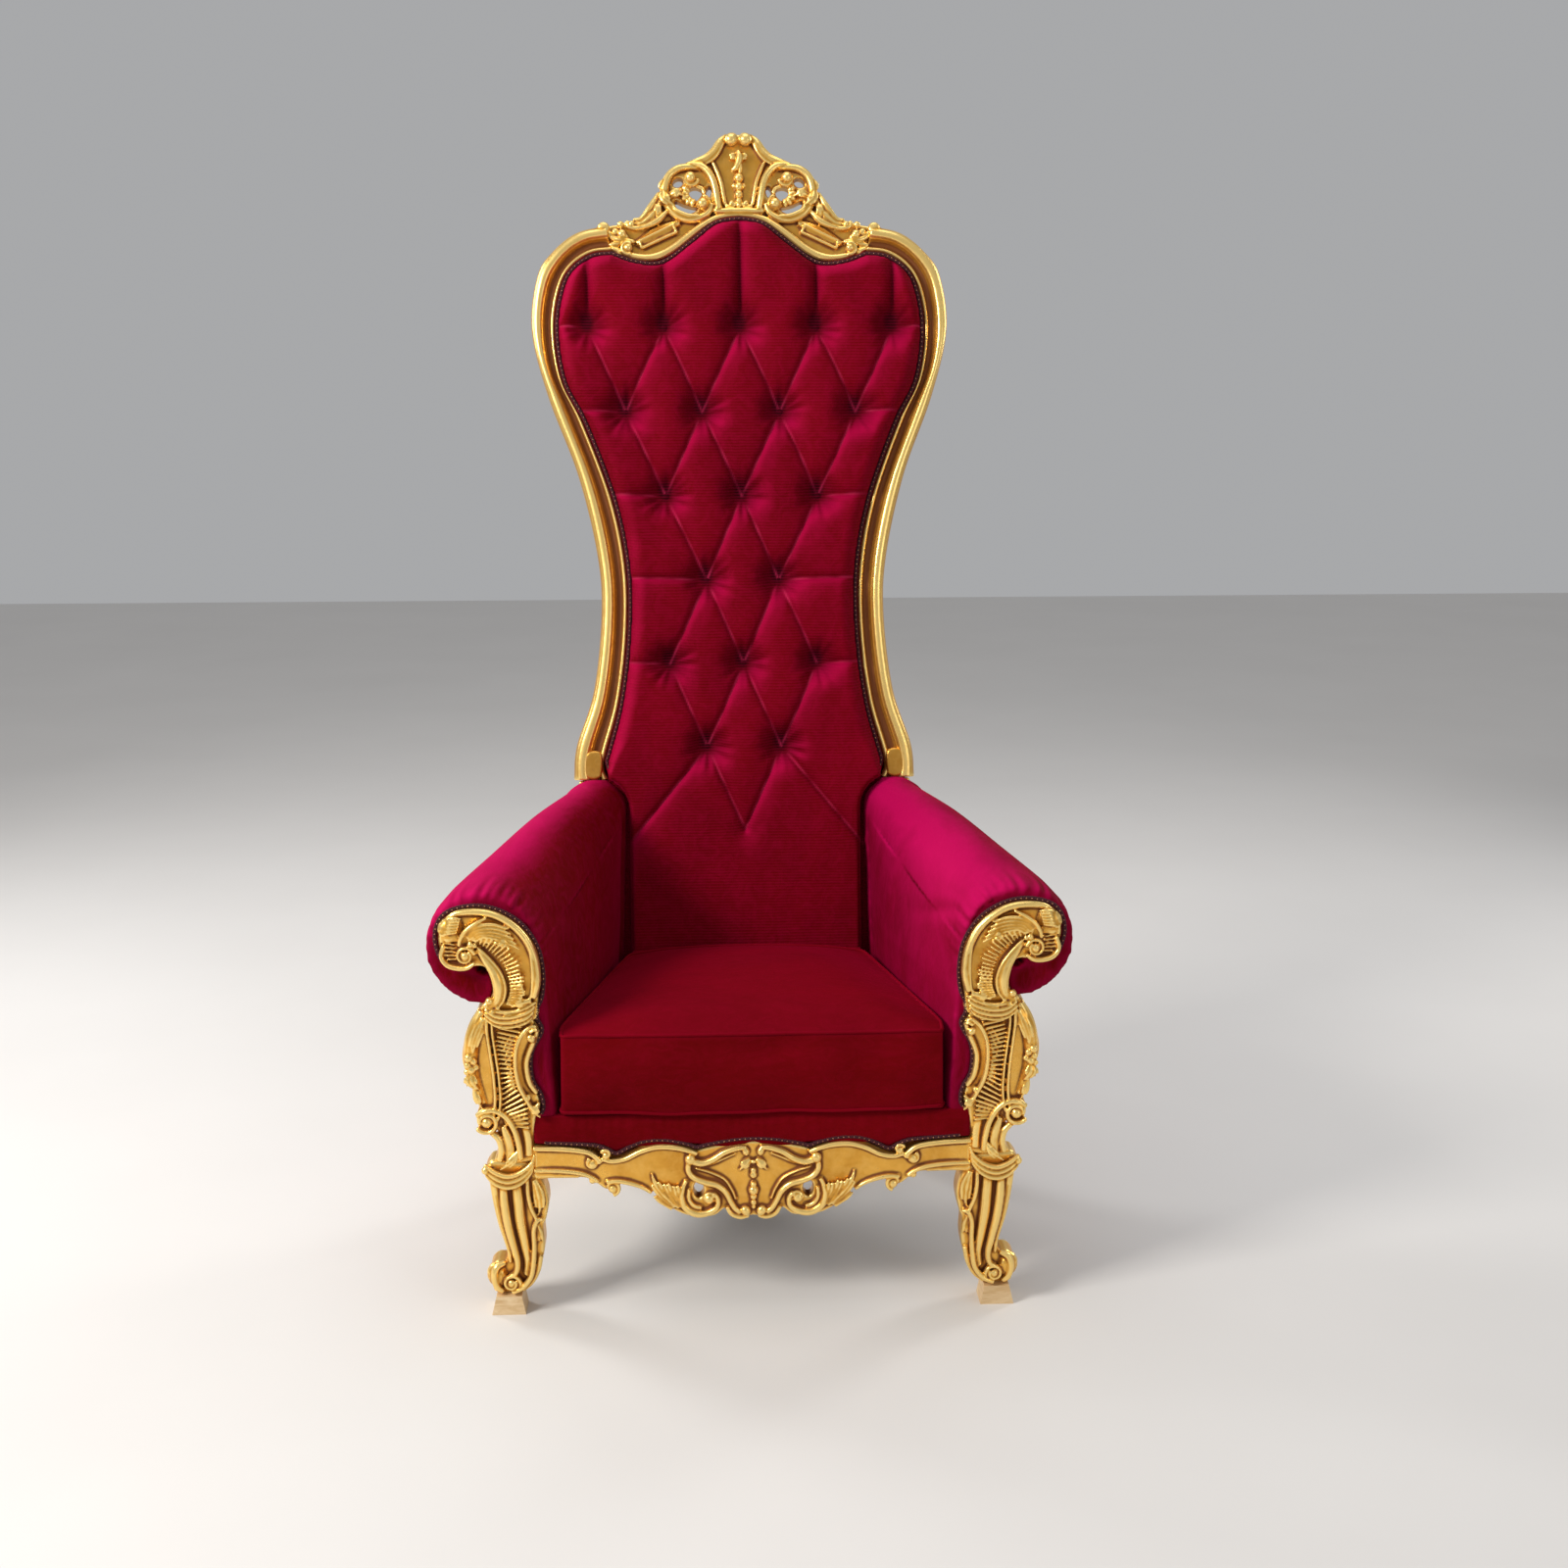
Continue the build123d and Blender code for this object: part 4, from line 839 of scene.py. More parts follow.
# leaf pair and lower lobes
half.leaf([(6, 266), (14, 258), (23, 247)], (3, 7, 3), lobes=3, out=(2, 6, 3), thick=4)
half.ball(13, 176, 4, 8, flat=0.9, long=1.15, turn=60)
half.stroke([(8, 167, 3, 3, 4), (22, 165, 3, 4, 5), (36, 170, 3, 3.6, 4), (44, 182, 2, 3, 4)])
half.mirror()
apron.add(np.vstack(half.verts), half.faces)
for z, r in ((262, 3.6), (247, 5), (239, 6), (222, 5.5), (212, 8.5), (201, 6), (190, 5), (182, 3.6)):
    apron.ball(0, z, 3, r)
apron_piece = carve("front_apron_carving", apron, lambda p: on_front(p + (0, 0, -10)), nodes=("front_apron",))

# ---------------------------------------------------------------- the back's show frame
OPEN_RUN = [(258, 20), (229, 129), (213, 260), (214, 380), (237, 500), (286, 635), (325, 715), (338, 810),
            (326, 885), (305, 922), (270, 945), (232, 950)]
OUTER_RUN = [(318, 10), (310, 48), (277, 150), (261, 290), (267, 400), (300, 545), (353, 690), (381, 810),
             (369, 908), (340, 952), (297, 985), (244, 998)]
TOP_RUN = [(232, 950), (190, 935), (142, 934), (90, 970), (45, 1004), (0, 1013)]
CREST_RUN = [(244, 998), (214, 1002), (190, 1000), (168, 1022), (152, 1042), (143, 1066), (134, 1088),
             (118, 1100), (96, 1108), (76, 1114), (58, 1122), (45, 1138), (36, 1154), (24, 1163), (0, 1164)]
# across the moulding, outside to inside: roll, cove, inner bead
PROFILE = [(0.0, -16), (0.02, -7), (0.08, 1), (0.17, 5.5), (0.28, 7), (0.39, 5.5), (0.49, 0.5), (0.54, -5),
           (0.58, -8), (0.64, -10), (0.71, -10.5), (0.77, -9), (0.80, -6.5), (0.83, -1), (0.88, 1.5),
           (0.93, 0.5), (0.97, -3), (1.0, -9)]
STILE_STEPS = 260
STILE_BACK = -42


def by_length(points, count):
    p = spline(points, 800)
    run = np.concatenate([[0], np.cumsum(np.linalg.norm(np.diff(p, axis=0), axis=1))])
    at = np.linspace(0, run[-1], count)
    return np.stack([np.interp(at, run, p[:, k]) for k in range(2)], 1)


outer_line = by_length([(316, -14), *OUTER_RUN[1:]], STILE_STEPS)
inner_line = by_length([(252, -14), *OPEN_RUN], STILE_STEPS)
stile = Clay()
section = [(t, d) for t, d in PROFILE] + [(1.0, STILE_BACK + 2), (0.96, STILE_BACK), (0.04, STILE_BACK),
                                          (0.0, STILE_BACK + 2)]
k = len(section)
grid = np.array([[(*(o + (i - o) * t), d) for t, d in section] for o, i in zip(outer_line, inner_line)])
quads = [(a * k + b, a * k + (b + 1) % k, (a + 1) * k + (b + 1) % k, (a + 1) * k + b)
         for a in range(STILE_STEPS - 1) for b in range(k)]
quads += [tuple(range(k))[::-1], tuple((STILE_STEPS - 1) * k + b for b in range(k))]
stile.add(grid.reshape(-1, 3), quads)
# the roll ends in a ball and a volute at the shoulder
stile.ball(247, 992, -4, 12, flat=0.8)
stile.spiral(248, 992, 0, 12, 6, -60, -320, w=2.6, h=4, rise=2)


def shade_cove(local):
    """How much painted shade the cove takes, by its depth below the roll and the bead; it adds to the hollow
    value that glazes the gilt.
    """
    low = np.clip((-3.5 - local[:, 2]) / 5, 0, 1) * (local[:, 2] > -15)
    return low * 0.19


def carve_back(name, clay, nodes, voxel=1.8, extra=None):
    ob = carve(name, clay, on_back, voxel=voxel, nodes=nodes)
    if extra:
        at = ob.data.attributes["hollow"]
        value = np.empty(len(ob.data.vertices))
        at.data.foreach_get("value", value)
        world = verts_of(ob.data) / MM
        dy, dz = world[:, 1] - BACK_ORIGIN[0], world[:, 2] - BACK_ORIGIN[1]
        local = np.stack([world[:, 0], dy * math.sin(RAKE) + dz * math.cos(RAKE),
                          -dy * math.cos(RAKE) + dz * math.sin(RAKE)], 1)
        at.data.foreach_set("value", np.clip(value + extra(local), 0, 1))
    return ob


right_stile = carve_back("right_back_stile_moulding", stile, ("right_back_stile",), extra=shade_cove)
left_stile = twin(right_stile, "left_back_stile_moulding", ("left_back_stile",))

# ---------------------------------------------------------------- crest
crest = Clay()
edge_top = spline(CREST_RUN, 110).tolist()
edge_low = spline(TOP_RUN, 70).tolist()
right_edge = edge_top[::-1] + edge_low[:-1]
ring = right_edge + [(0, 1013)] + [(-x, s) for x, s in reversed(right_edge[1:])]


def oval(u, v, a, b, turn=0, bend=0.0):
    c, s = math.cos(math.radians(turn)), math.sin(math.radians(turn))
    out = []
    for q in np.linspace(0, 2 * math.pi, 20, endpoint=False):
        x, y = a * math.cos(q), b * math.sin(q)
        y += bend * (x / a) ** 2
        out.append((u + x * c - y * s, v + x * s + y * c))
    return out


holes = [oval(80, 1057, 14.5, 12), oval(111, 1077, 10, 8, -30), oval(99, 1029, 22, 7.5, 18, 8),
         oval(55, 1060, 5, 11, 12)]
holes += [[(-x, s) for x, s in h] for h in holes]
crest.plate(ring, -42, -12, holes=holes, edge=4)
half = Clay(1.35)
# cap volutes and the two concave borders of the cartouche
half.ball(13, 1151, 0, 12, flat=0.9)
half.spiral(12.5, 1152, 2, 10.5, 5, 200, -330, w=2.2, h=3.2, rise=2)
half.stroke([(20, 1160, -7, 3, 5), (32, 1148, -6, 6, 6), (42, 1132, -6, 7, 7), (56, 1119, -6, 7, 7),
             (76, 1111, -6, 6, 7), (94, 1106, -7, 4, 6)])
half.stroke([(27, 1146, -4, 1.8, 3), (36, 1128, -3, 2, 3.5), (48, 1115, -3, 2, 3.5), (62, 1108, -4, 1.8, 3)])
half.stroke([(92, 1108, -5, 3.4, 5), (68, 1104, -2, 4.6, 6), (52, 1088, -1, 5, 7), (44, 1068, 0, 5, 7),
             (40, 1046, 0, 5, 7), (37, 1028, -2, 4.6, 6)])
half.stroke([(46, 1110, -7, 2.4, 4), (39, 1094, -6, 2.8, 4.5), (32, 1074, -5, 3, 5), (28, 1052, -5, 3, 5),
             (25, 1036, -6, 2.8, 4.5)])
half.stroke([(44, 1024, -3, 4, 6), (30, 1023, -3, 4, 6), (14, 1024, -3, 4, 6), (0, 1024, -3, 4, 6)])
half.ball(13, 1038, -4, 5)
half.stroke([(24, 1033, -5, 2.4, 4), (14, 1031, -4, 2.6, 4), (6, 1036, -4, 2.2, 4)])
# loop, with a ball volute at each end of its curl
half.stroke([(70, 1101, -6, 3, 5), (90, 1103, -5, 4.4, 7), (110, 1100, -5, 5, 7), (126, 1088, -5, 5.4, 7),
             (135, 1066, -5, 6, 8), (133, 1042, -5, 6.4, 8), (120, 1022, -4, 6.4, 8), (98, 1010, -4, 6, 8),
             (74, 1010, -4, 5.4, 8), (56, 1021, -4, 4.6, 7), (49, 1036, -4, 3.8, 6)])
half.stroke([(124, 1034, 0, 2, 3), (112, 1022, 2, 2.6, 4), (92, 1014, 2, 2.6, 4), (74, 1014, 1, 2, 3)])
half.ball(88, 1083, 0, 10.5, flat=0.95)
half.spiral(87, 1082, -3, 14, 9, 190, 265, w=3, h=5, rise=3)
half.ball(66, 1036, 1, 10.5, flat=0.95)
half.spiral(67, 1037, -3, 14, 9, 100, 250, w=3, h=5, rise=3)
half.leaf([(128, 1050), (114, 1055), (100, 1050)], (3, 7, 2), lobes=3, out=(-4, 2, -3), thick=5)
half.leaf([(138, 1066), (134, 1044), (116, 1032)], (3, 8, 2), lobes=3, out=(-3, 4, 0), thick=5)
half.leaf([(128, 1086), (140, 1070), (142, 1052)], (2, 5, 2), lobes=2, out=(-5, -1, -4), thick=5)
for ang in (-75, -50, -25, 0, 25):
    c, s = math.cos(math.radians(ang)), math.sin(math.radians(ang))
    half.stroke([(79 + 13 * c, 1056 + 12 * s, -8, 2.6, 4), (79 + 19 * c, 1056 + 18 * s, -6, 3.4, 5),
                 (79 + 26 * c, 1056 + 25 * s, -8, 2.8, 4)])
half.stroke([(79, 1069, -8, 2.6, 5), (66, 1064, -8, 3, 5), (64, 1052, -8, 3, 5), (70, 1044, -8, 2.6, 5)])
# flames down the shoulder
FLAMES = (((146, 1056), (160, 1032), (178, 1010)), ((140, 1040), (156, 1018), (176, 1002)),
          ((130, 1024), (148, 1006), (170, 996)))
for k, (a, b, c) in enumerate(FLAMES):
    half.stroke([(*a, -7 + k, 2.6, 5), (*b, -4 + k, 4.6, 6.5), (*c, -5 + k, 3.4, 5),
                 (c[0] + 14, c[1] - 2, -6 + k, 2.2, 4)])
half.leaf([(150, 1000), (148, 1024), (144, 1046)], (3, 6, 2), lobes=3, out=(-4, 2, -4), thick=4)
half.leaf([(168, 996), (160, 1012), (156, 1030)], (3, 5, 2), lobes=2, out=(-4, 1, -4), thick=4)
half.ball(196, 1000, -3, 6)
half.stroke([(176, 994, -5, 3, 5), (190, 992, -3, 3, 5), (203, 996, -3, 3, 5), (204, 1005, -4, 2.4, 4)])
half.ball(216, 999, -4, 6.5)
half.ball(226, 986, -6, 7)
half.ball(214, 982, -4, 8.5, flat=0.9)
half.stroke([(204, 978, -5, 3, 5), (216, 972, -4, 4, 5), (230, 976, -6, 4, 5), (240, 986, -7, 4, 5)])
half.ball(203, 957, -3, 8.5, flat=0.9)
half.spiral(203, 957, -2, 13, 8, 250, 240, w=3, h=4.5, rise=2)
half.stroke([(192, 968, -6, 3, 5), (206, 970, -4, 3.4, 5), (222, 965, -6, 4, 5), (236, 962, -7, 3, 5)])
half.leaf([(232, 962), (218, 950), (204, 944)], (3, 5, 2), lobes=3, out=(-6, -3, -5), thick=4)
# sunken panel with its raised frame
frame_line = [(121, 999), (182, 970), (178, 957), (114, 986), (121, 999)]
for a, b in zip(frame_line, frame_line[1:]):
    half.stroke([(*a, -7, 2.2, 4), ((a[0] + b[0]) / 2, (a[1] + b[1]) / 2, -6.5, 2.2, 4), (*b, -7, 2.2, 4)])
half.stroke([(110, 1004, -9, 4, 5), (146, 986, -9, 9, 4), (186, 966, -9, 4, 4)])
# band along the velvet
half.stroke([(0, 1017, -6, 3.4, 6), (24, 1015, -5, 3.8, 6), (46, 1009, -5, 4.4, 6), (69, 995, -4, 5, 7),
             (93, 977, -4, 5.4, 7), (119, 957, -4, 5.6, 7), (143, 944, -4, 5.6, 7), (166, 939, -4, 5, 7),
             (192, 942, -5, 4.4, 6), (216, 950, -6, 3.6, 6), (232, 956, -7, 3, 6)])
half.mirror()
crest.add(np.vstack(half.verts), half.faces)
# hanging ornament down the middle
hanging = Clay(1.5)
for side in (-1, 1):
    hanging.leaf([(0, 1128), (side * 10, 1122), (side * 25, 1118)], (3, 5, 2), lobes=2, out=(-6, -2, -6),
                 thick=4)
    hanging.leaf([(side * 2, 1072), (side * 8, 1068), (side * 12, 1061)], (2, 4, 1.5), lobes=2,
                 out=(-6, -3, -6), thick=4)
hanging.stroke([(-1, 1132, -5, 3, 5), (2, 1122, -3, 4, 6), (0, 1110, -3, 4.4, 6), (-5, 1101, -3, 3.6, 5),
                (-12, 1097, -5, 2, 4)])
hanging.stroke([(1, 1112, -4, 2.4, 4), (4, 1102, -3, 2.6, 5), (2, 1092, -5, 2, 4)])
for s, r in ((1083, 9), (1067, 8.5), (1053, 8), (1042, 6), (1034, 4.6)):
    hanging.ball(0, s, -4, r)
crest.add(np.vstack(hanging.verts), hanging.faces)
crest_piece = carve_back("crest_rail_carving", crest, ("crest_rail",), voxel=1.6)

# ---------------------------------------------------------------- tufted back
BUTTONS = [(0, 811), (139, 811), (278, 811), (-139, 811), (-278, 811)]
ROWS = [((71, 210), 658), ((0, 139), 505), ((66,), 352), ((0, 135), 199), ((68,), 46)]
for xs, s in ROWS:
    BUTTONS += [(sx, s) for x in xs for sx in sorted({x, -x})]
PAD_LOW_S, PAD_LOW_X, PAD_FULL_S = -486, 211, -12
PUFF, REST = 33.0, 3.0
BRAID_W = 8.0
PAD_WIDE_X = 252
CREASE_HALF = 1.7
ARM_END = (272, -68, 58)


def pleat_lines():
    """Pairs of points that the cover is folded between."""
    rows = [(811, [-278, -139, 0, 139, 278]), (658, [-210, -71, 71, 210]), (505, [-139, 0, 139]),
            (352, [-66, 66]), (199, [-135, 0, 135]), (46, [-68, 68])]
    lines = []
    for (s0, a), (s1, b) in zip(rows, rows[1:]):
        for x0 in a:
            lines += [((x0, s0), (x1, s1), 1.0) for x1 in b if abs(x1 - x0) < 85]
    top = {0: 1022, 139: 945, 278: 955}
    lines += [((sx, 811), (sx, top[x]), 1.25) for x in top for sx in sorted({x, -x})]
    for s, x in ((811, 278), (658, 210), (505, 139), (352, 66), (199, 135)):
        lines += [((sg * x, s), (sg * (x + 150), s + 4), 0.75) for sg in (-1, 1)]
    for sg in (-1, 1):
        lines += [((sg * 68, 46), (sg * 230, -150), 0.8), ((sg * 68, 46), (0, -106), 0.8)]
    return lines


def along(x, s, a, b):
    """Distance to a segment, and how far along it the nearest point is."""
    dx, ds = b[0] - a[0], b[1] - a[1]
    t = np.clip(((x - a[0]) * dx + (s - a[1]) * ds) / (dx * dx + ds * ds), 0, 1)
    return np.hypot(x - a[0] - t * dx, s - a[1] - t * ds), t


def tuft(x, s):
    """Height of the stuffed cover over the plane: diamonds between buttons, folds along the pleats."""
    keep = np.ones_like(x)
    for a, b, deep in pleat_lines():
        d, t = along(x, s, a, b)
        length = math.hypot(b[0] - a[0], b[1] - a[1])
        ends = np.minimum(t, 1 - t) * length if b in BUTTONS else t * length
        at_edge = b not in BUTTONS
        fade = (0.46 if at_edge else 0.28) + 0.5 * np.exp(-ends / 34)
        wide = (7.5 if a[0] == b[0] else 4.2) + 11 * np.exp(-ends / 24)
        keep *= 1 - np.clip(deep * fade, 0, 0.85) * np.exp(-(d / wide) ** 1.2)
        keep *= 1 - 0.16 * np.exp(-(d / 24) ** 2)
    for bx, bs in BUTTONS:
        r = np.hypot(x - bx, s - bs)
        keep *= 1 - 0.99 * np.exp(-(r / 27) ** 1.6)
    height = PUFF * keep
    for bx, bs in BUTTONS:
        r = np.hypot(x - bx, s - bs) + 1e-6
        ang = np.arctan2(s - bs, x - bx)
        seed = bx * 0.013 + bs * 0.007
        fold = np.cos(ang * 9 + seed * 5 + 0.7 * np.sin(ang * 3 + seed)) + 0.5 * np.cos(ang * 14 - seed * 9)
        height += 1.3 * fold * np.exp(-((r - 30) / 17) ** 2)
    height += 1.2 * np.sin(x * 0.021 + 1.3) * np.sin(s * 0.016 + 0.4)
    height += 0.5 * np.sin(x * 0.09 + s * 0.031) * np.sin(s * 0.057 - x * 0.02)
    return height


open_edge = [(x, s) for x, s in by_length(OPEN_RUN, 120)] + [(x, s) for x, s in by_length(TOP_RUN, 60)[1:]]
round_arm = [(ARM_END[0] - (ARM_END[2] + 1) * math.cos(q), ARM_END[1] + (ARM_END[2] + 1) * math.sin(q))
             for q in np.radians([0, 15, 30, 45, 58, 68])]
pad_right = [(PAD_LOW_X + 2, PAD_LOW_S)] + round_arm + open_edge
pad_ring = pad_right + [(-x, s) for x, s in reversed(pad_right[:-1])]
wide_right = [(PAD_WIDE_X, PAD_LOW_S), (PAD_WIDE_X, PAD_FULL_S + 6)] + open_edge
wide_ring = wide_right + [(-x, s) for x, s in reversed(wide_right[:-1])]


def edge_distance(x, s, ring):
    best = np.full_like(x, 1e9)
    for a, b in zip(ring, ring[1:] + ring[:1]):
        best = np.minimum(best, along(x, s, a, b)[0])
    return best


def outside_by(x, z, ring):
    """Distance outside a closed outline, 0 within it."""
    inside = np.zeros(len(x), bool)
    for a, b in zip(ring, ring[1:] + ring[:1]):
        cross = (a[1] > z) != (b[1] > z)
        at = (b[0] - a[0]) * (z - a[1]) / ((b[1] - a[1]) or 1e-9) + a[0]
        inside ^= cross & (x < at)
    return np.where(inside, 0, edge_distance(x, z, ring))


def back_shading(ob, x, s):
    """Painted shadow in pits over the buttons and in the seams at the top, fainter painted shade along the
    pleats, painted highlight lines along the pleats.
    """
    dark, wear_and_highlight = np.zeros(len(x)), np.zeros(len(x))
    # painted shadow: a dark blob over each button, centred a little above and to the left of it, where the
    # puff overhangs
    for bx, bs in BUTTONS:
        r = np.hypot((x - bx + 2) / 19, (s - bs - 9) / 26)
        dark = np.maximum(dark, np.exp(-r ** 2.4))
        dark = np.maximum(dark, 0.62 * np.exp(-((np.hypot(x - bx, s - bs - 6) / 38) ** 2)))
    for a, b, _ in pleat_lines():
        d, t = along(x, s, a, b)
        length = math.hypot(b[0] - a[0], b[1] - a[1])
        # painted shade along the seams at the top, darkest by their buttons
        if a[0] == b[0]:
            dark = np.maximum(dark, (0.72 - 0.25 * t) * np.exp(-(d / 6.5) ** 1.6))
            continue
        # fainter painted shade along the other pleats
        dark = np.maximum(dark, 0.22 * np.exp(-(d / 6) ** 1.5))
        # painted highlight: a thin bright line along each pleat, uneven along its length
        uneven = (0.55 + 0.45 * np.sin(t * length * 0.11 + a[0] * 0.3 + b[0])
                  * np.sin(t * length * 0.037 + a[1]))
        wear_and_highlight = np.maximum(wear_and_highlight, uneven * np.exp(-(d / CREASE_HALF) ** 2)
                          * np.clip((t * length - 14) / 14, 0, 1))
    # 'hollow' carries the painted shade and 'crease' the painted highlight, which the velvet turns into
    # colour
    for name, value in (("hollow", 0.5 + 0.5 * dark), ("crease", wear_and_highlight)):
        at = ob.data.attributes.get(name) or ob.data.attributes.new(name, "FLOAT", "POINT")
        at.data.foreach_set("value", value)


def make_back():
    clay = Clay()
    clay.plate(wide_ring, -34, 1, edge=1.5)
    ob = new_object("back_pad_velvet", np.vstack(clay.verts) * MM, clay.faces)
    m = ob.modifiers.new("join", "REMESH")
    m.mode, m.voxel_size = "VOXEL", 2.6 * MM
    bake(ob)
    p = verts_of(ob.data) / MM
    x, s = p[:, 0], p[:, 1]
    edge = edge_distance(x, s, pad_ring)
    behind_arm = (outside_by(x, s, pad_ring) > 0) & (s < 0)
    edge = np.where(behind_arm, 0, edge)
    braid_room = BRAID_W * np.clip((s - PAD_FULL_S - 10) / 20, 0, 1)
    turn = 9 + 19 * np.clip(s / 60, 0, 1)
    roll = np.sqrt(np.clip(1 - (1 - np.clip((edge - braid_room) / turn, 0, 1)) ** 2, 0, 1))
    low = np.clip((s + 470) / 60, 0, 1)
    lift = (tuft(x, s) * (0.35 + 0.65 * low) * roll + REST * roll)
    front = p[:, 2] > -8
    p[front, 2] = lift[front] - np.where(behind_arm, 4.0, 1.0)[front]
    set_verts(ob.data, on_back(p))
    sm = ob.modifiers.new("soften", "SMOOTH")
    sm.factor, sm.iterations = 0.4, 2
    bake(ob)
    face_out(ob)
    back_shading(ob, x, s)
    return own(ob, "frame", "velvet", ("back_pad",))


back_pad = make_back()

button_parts = Clay()
for bx, bs in BUTTONS:
    button_parts.ball(bx, bs, -1.5, 8.5, flat=0.45)
buttons = new_object("back_buttons_covered", on_back(np.vstack(button_parts.verts)), button_parts.faces)
face_out(buttons)
mark_hollows(buttons)
own(buttons, "frame", "velvet", ("back_buttons",))

# painted shade: the buttons get a hollow value near 1, so the velvet paints them almost black, as if deep in
# shadow
value = buttons.data.attributes["hollow"].data
for v in value:
    v.value = 0.96

# round-ended wooden plugs at the feet of the stiles
plug = Clay()
plug.plate(closed_spline([(262, 30), (263, -2), (272, -13), (286, -13), (296, -4), (297, 24), (289, 38),
                          (271, 40)], 60),
           -12, 5, edge=5)
right_plug = carve("right_stile_plug", plug, on_back, voxel=1.6, slot="bare_wood", nodes=("stile_bosses",))
left_plug = twin(right_plug, "left_stile_plug")

# ---------------------------------------------------------------- stuffed pieces
def from_cad(name, node, voxel):
    """A fresh even mesh over a CAD node's shape, unowned."""
    me = frame_object(node).data.copy()
    ob = bpy.data.objects.new(name, me)
    bpy.context.scene.collection.objects.link(ob)
    m = ob.modifiers.new("even", "REMESH")
    m.mode, m.voxel_size = "VOXEL", voxel * MM
    bake(ob)
    face_out(ob)
    return ob


def frame_object(node):
    held = frame["nodes"][node]
    return held if isinstance(held, bpy.types.Object) else bpy.data.objects[node]


def normals_of(me):
    no = np.empty(len(me.vertices) * 3)
    me.vertex_normals.foreach_get("vector", no)
    return no.reshape(-1, 3)


def inflate(ob, shrink, cap, pinned, pressure=4.0, frames=20):
    """Blows the cover up under cloth simulation from a slightly smaller shape, holding the pinned points."""
    me = ob.data
    start = verts_of(me).copy()
    no = normals_of(me)
    hold = pinned(start / MM, no)
    small = start - no * (shrink * MM) * (1 - hold)[:, None]
    set_verts(me, small)
    grp = ob.vertex_groups.new(name="held")
    for level in (1.0, 0.5):
        idx = np.nonzero((hold >= level) & (hold < level + 0.5))[0].tolist()
        if idx:
            grp.add(idx, level, "REPLACE")
    cl = ob.modifiers.new("cloth", "CLOTH")
    st = cl.settings
    st.quality, st.mass, st.air_damping = 4, 0.25, 5
    st.tension_stiffness = st.compression_stiffness = 22
    st.shear_stiffness, st.bending_stiffness = 10, 1.2
    st.use_pressure, st.uniform_pressure_force = True, pressure
    st.vertex_group_mass = "held"
    st.effector_weights.gravity = 0
    cl.collision_settings.use_collision = False
    cl.point_cache.frame_start, cl.point_cache.frame_end = 1, frames
    scene = bpy.context.scene
    for f in range(1, frames + 1):
        scene.frame_set(f)
    dg = bpy.context.evaluated_depsgraph_get()
    done = ob.evaluated_get(dg)
    co = np.empty(len(start) * 3)
    done.data.vertices.foreach_get("co", co)
    move = co.reshape(-1, 3) - start
    ob.modifiers.clear()
    ob.vertex_groups.clear()
    scene.frame_set(1)
    far = np.linalg.norm(move, axis=1, keepdims=True)
    return start + move * np.minimum(1, cap * MM / np.maximum(far, 1e-9))


def finer(ob, smooth=2, levels=1):
    if smooth:
        s = ob.modifiers.new("soften", "SMOOTH")
        s.factor, s.iterations = 0.5, smooth
    if levels:
        d = ob.modifiers.new("finer", "SUBSURF")
        d.levels = d.render_levels = levels
    return bake(ob)


# rolled arms
ARM_FRONT_Y, ARM_BACK_Y = -338, 141
ROLL_FRONT, ROLL_BACK = (430, 630, 97), (272, 733, 58)


SHOW_RING = closed_spline(SCROLL_OUT[:-1] + POST_IN[::-1] + [(470, 268)] + POST_OUT[:3][::-1] + SCROLL_IN,
                          200).tolist()
PULL_FROM_Y, PULL_BY = -285, 35
EDGE_TURN, EDGE_DROP, WALL_MID_X = 36, 13, 357


def arm_held(p, no):
    """The pad is tied down under the seat, at its front face and where it meets the back."""
    slope = p[:, 1] - (BACK_ORIGIN[0] + (p[:, 2] - BACK_ORIGIN[1]) * math.tan(RAKE))
    hold = (p[:, 2] < 318) | (p[:, 1] < ARM_FRONT_Y + 3) | (slope > -22)
    under = (no[:, 2] < -0.35) | ((no[:, 0] > 0.5) & (p[:, 2] < 560))
    return np.where(hold, 1.0, np.where(under, 0.5, 0.0))


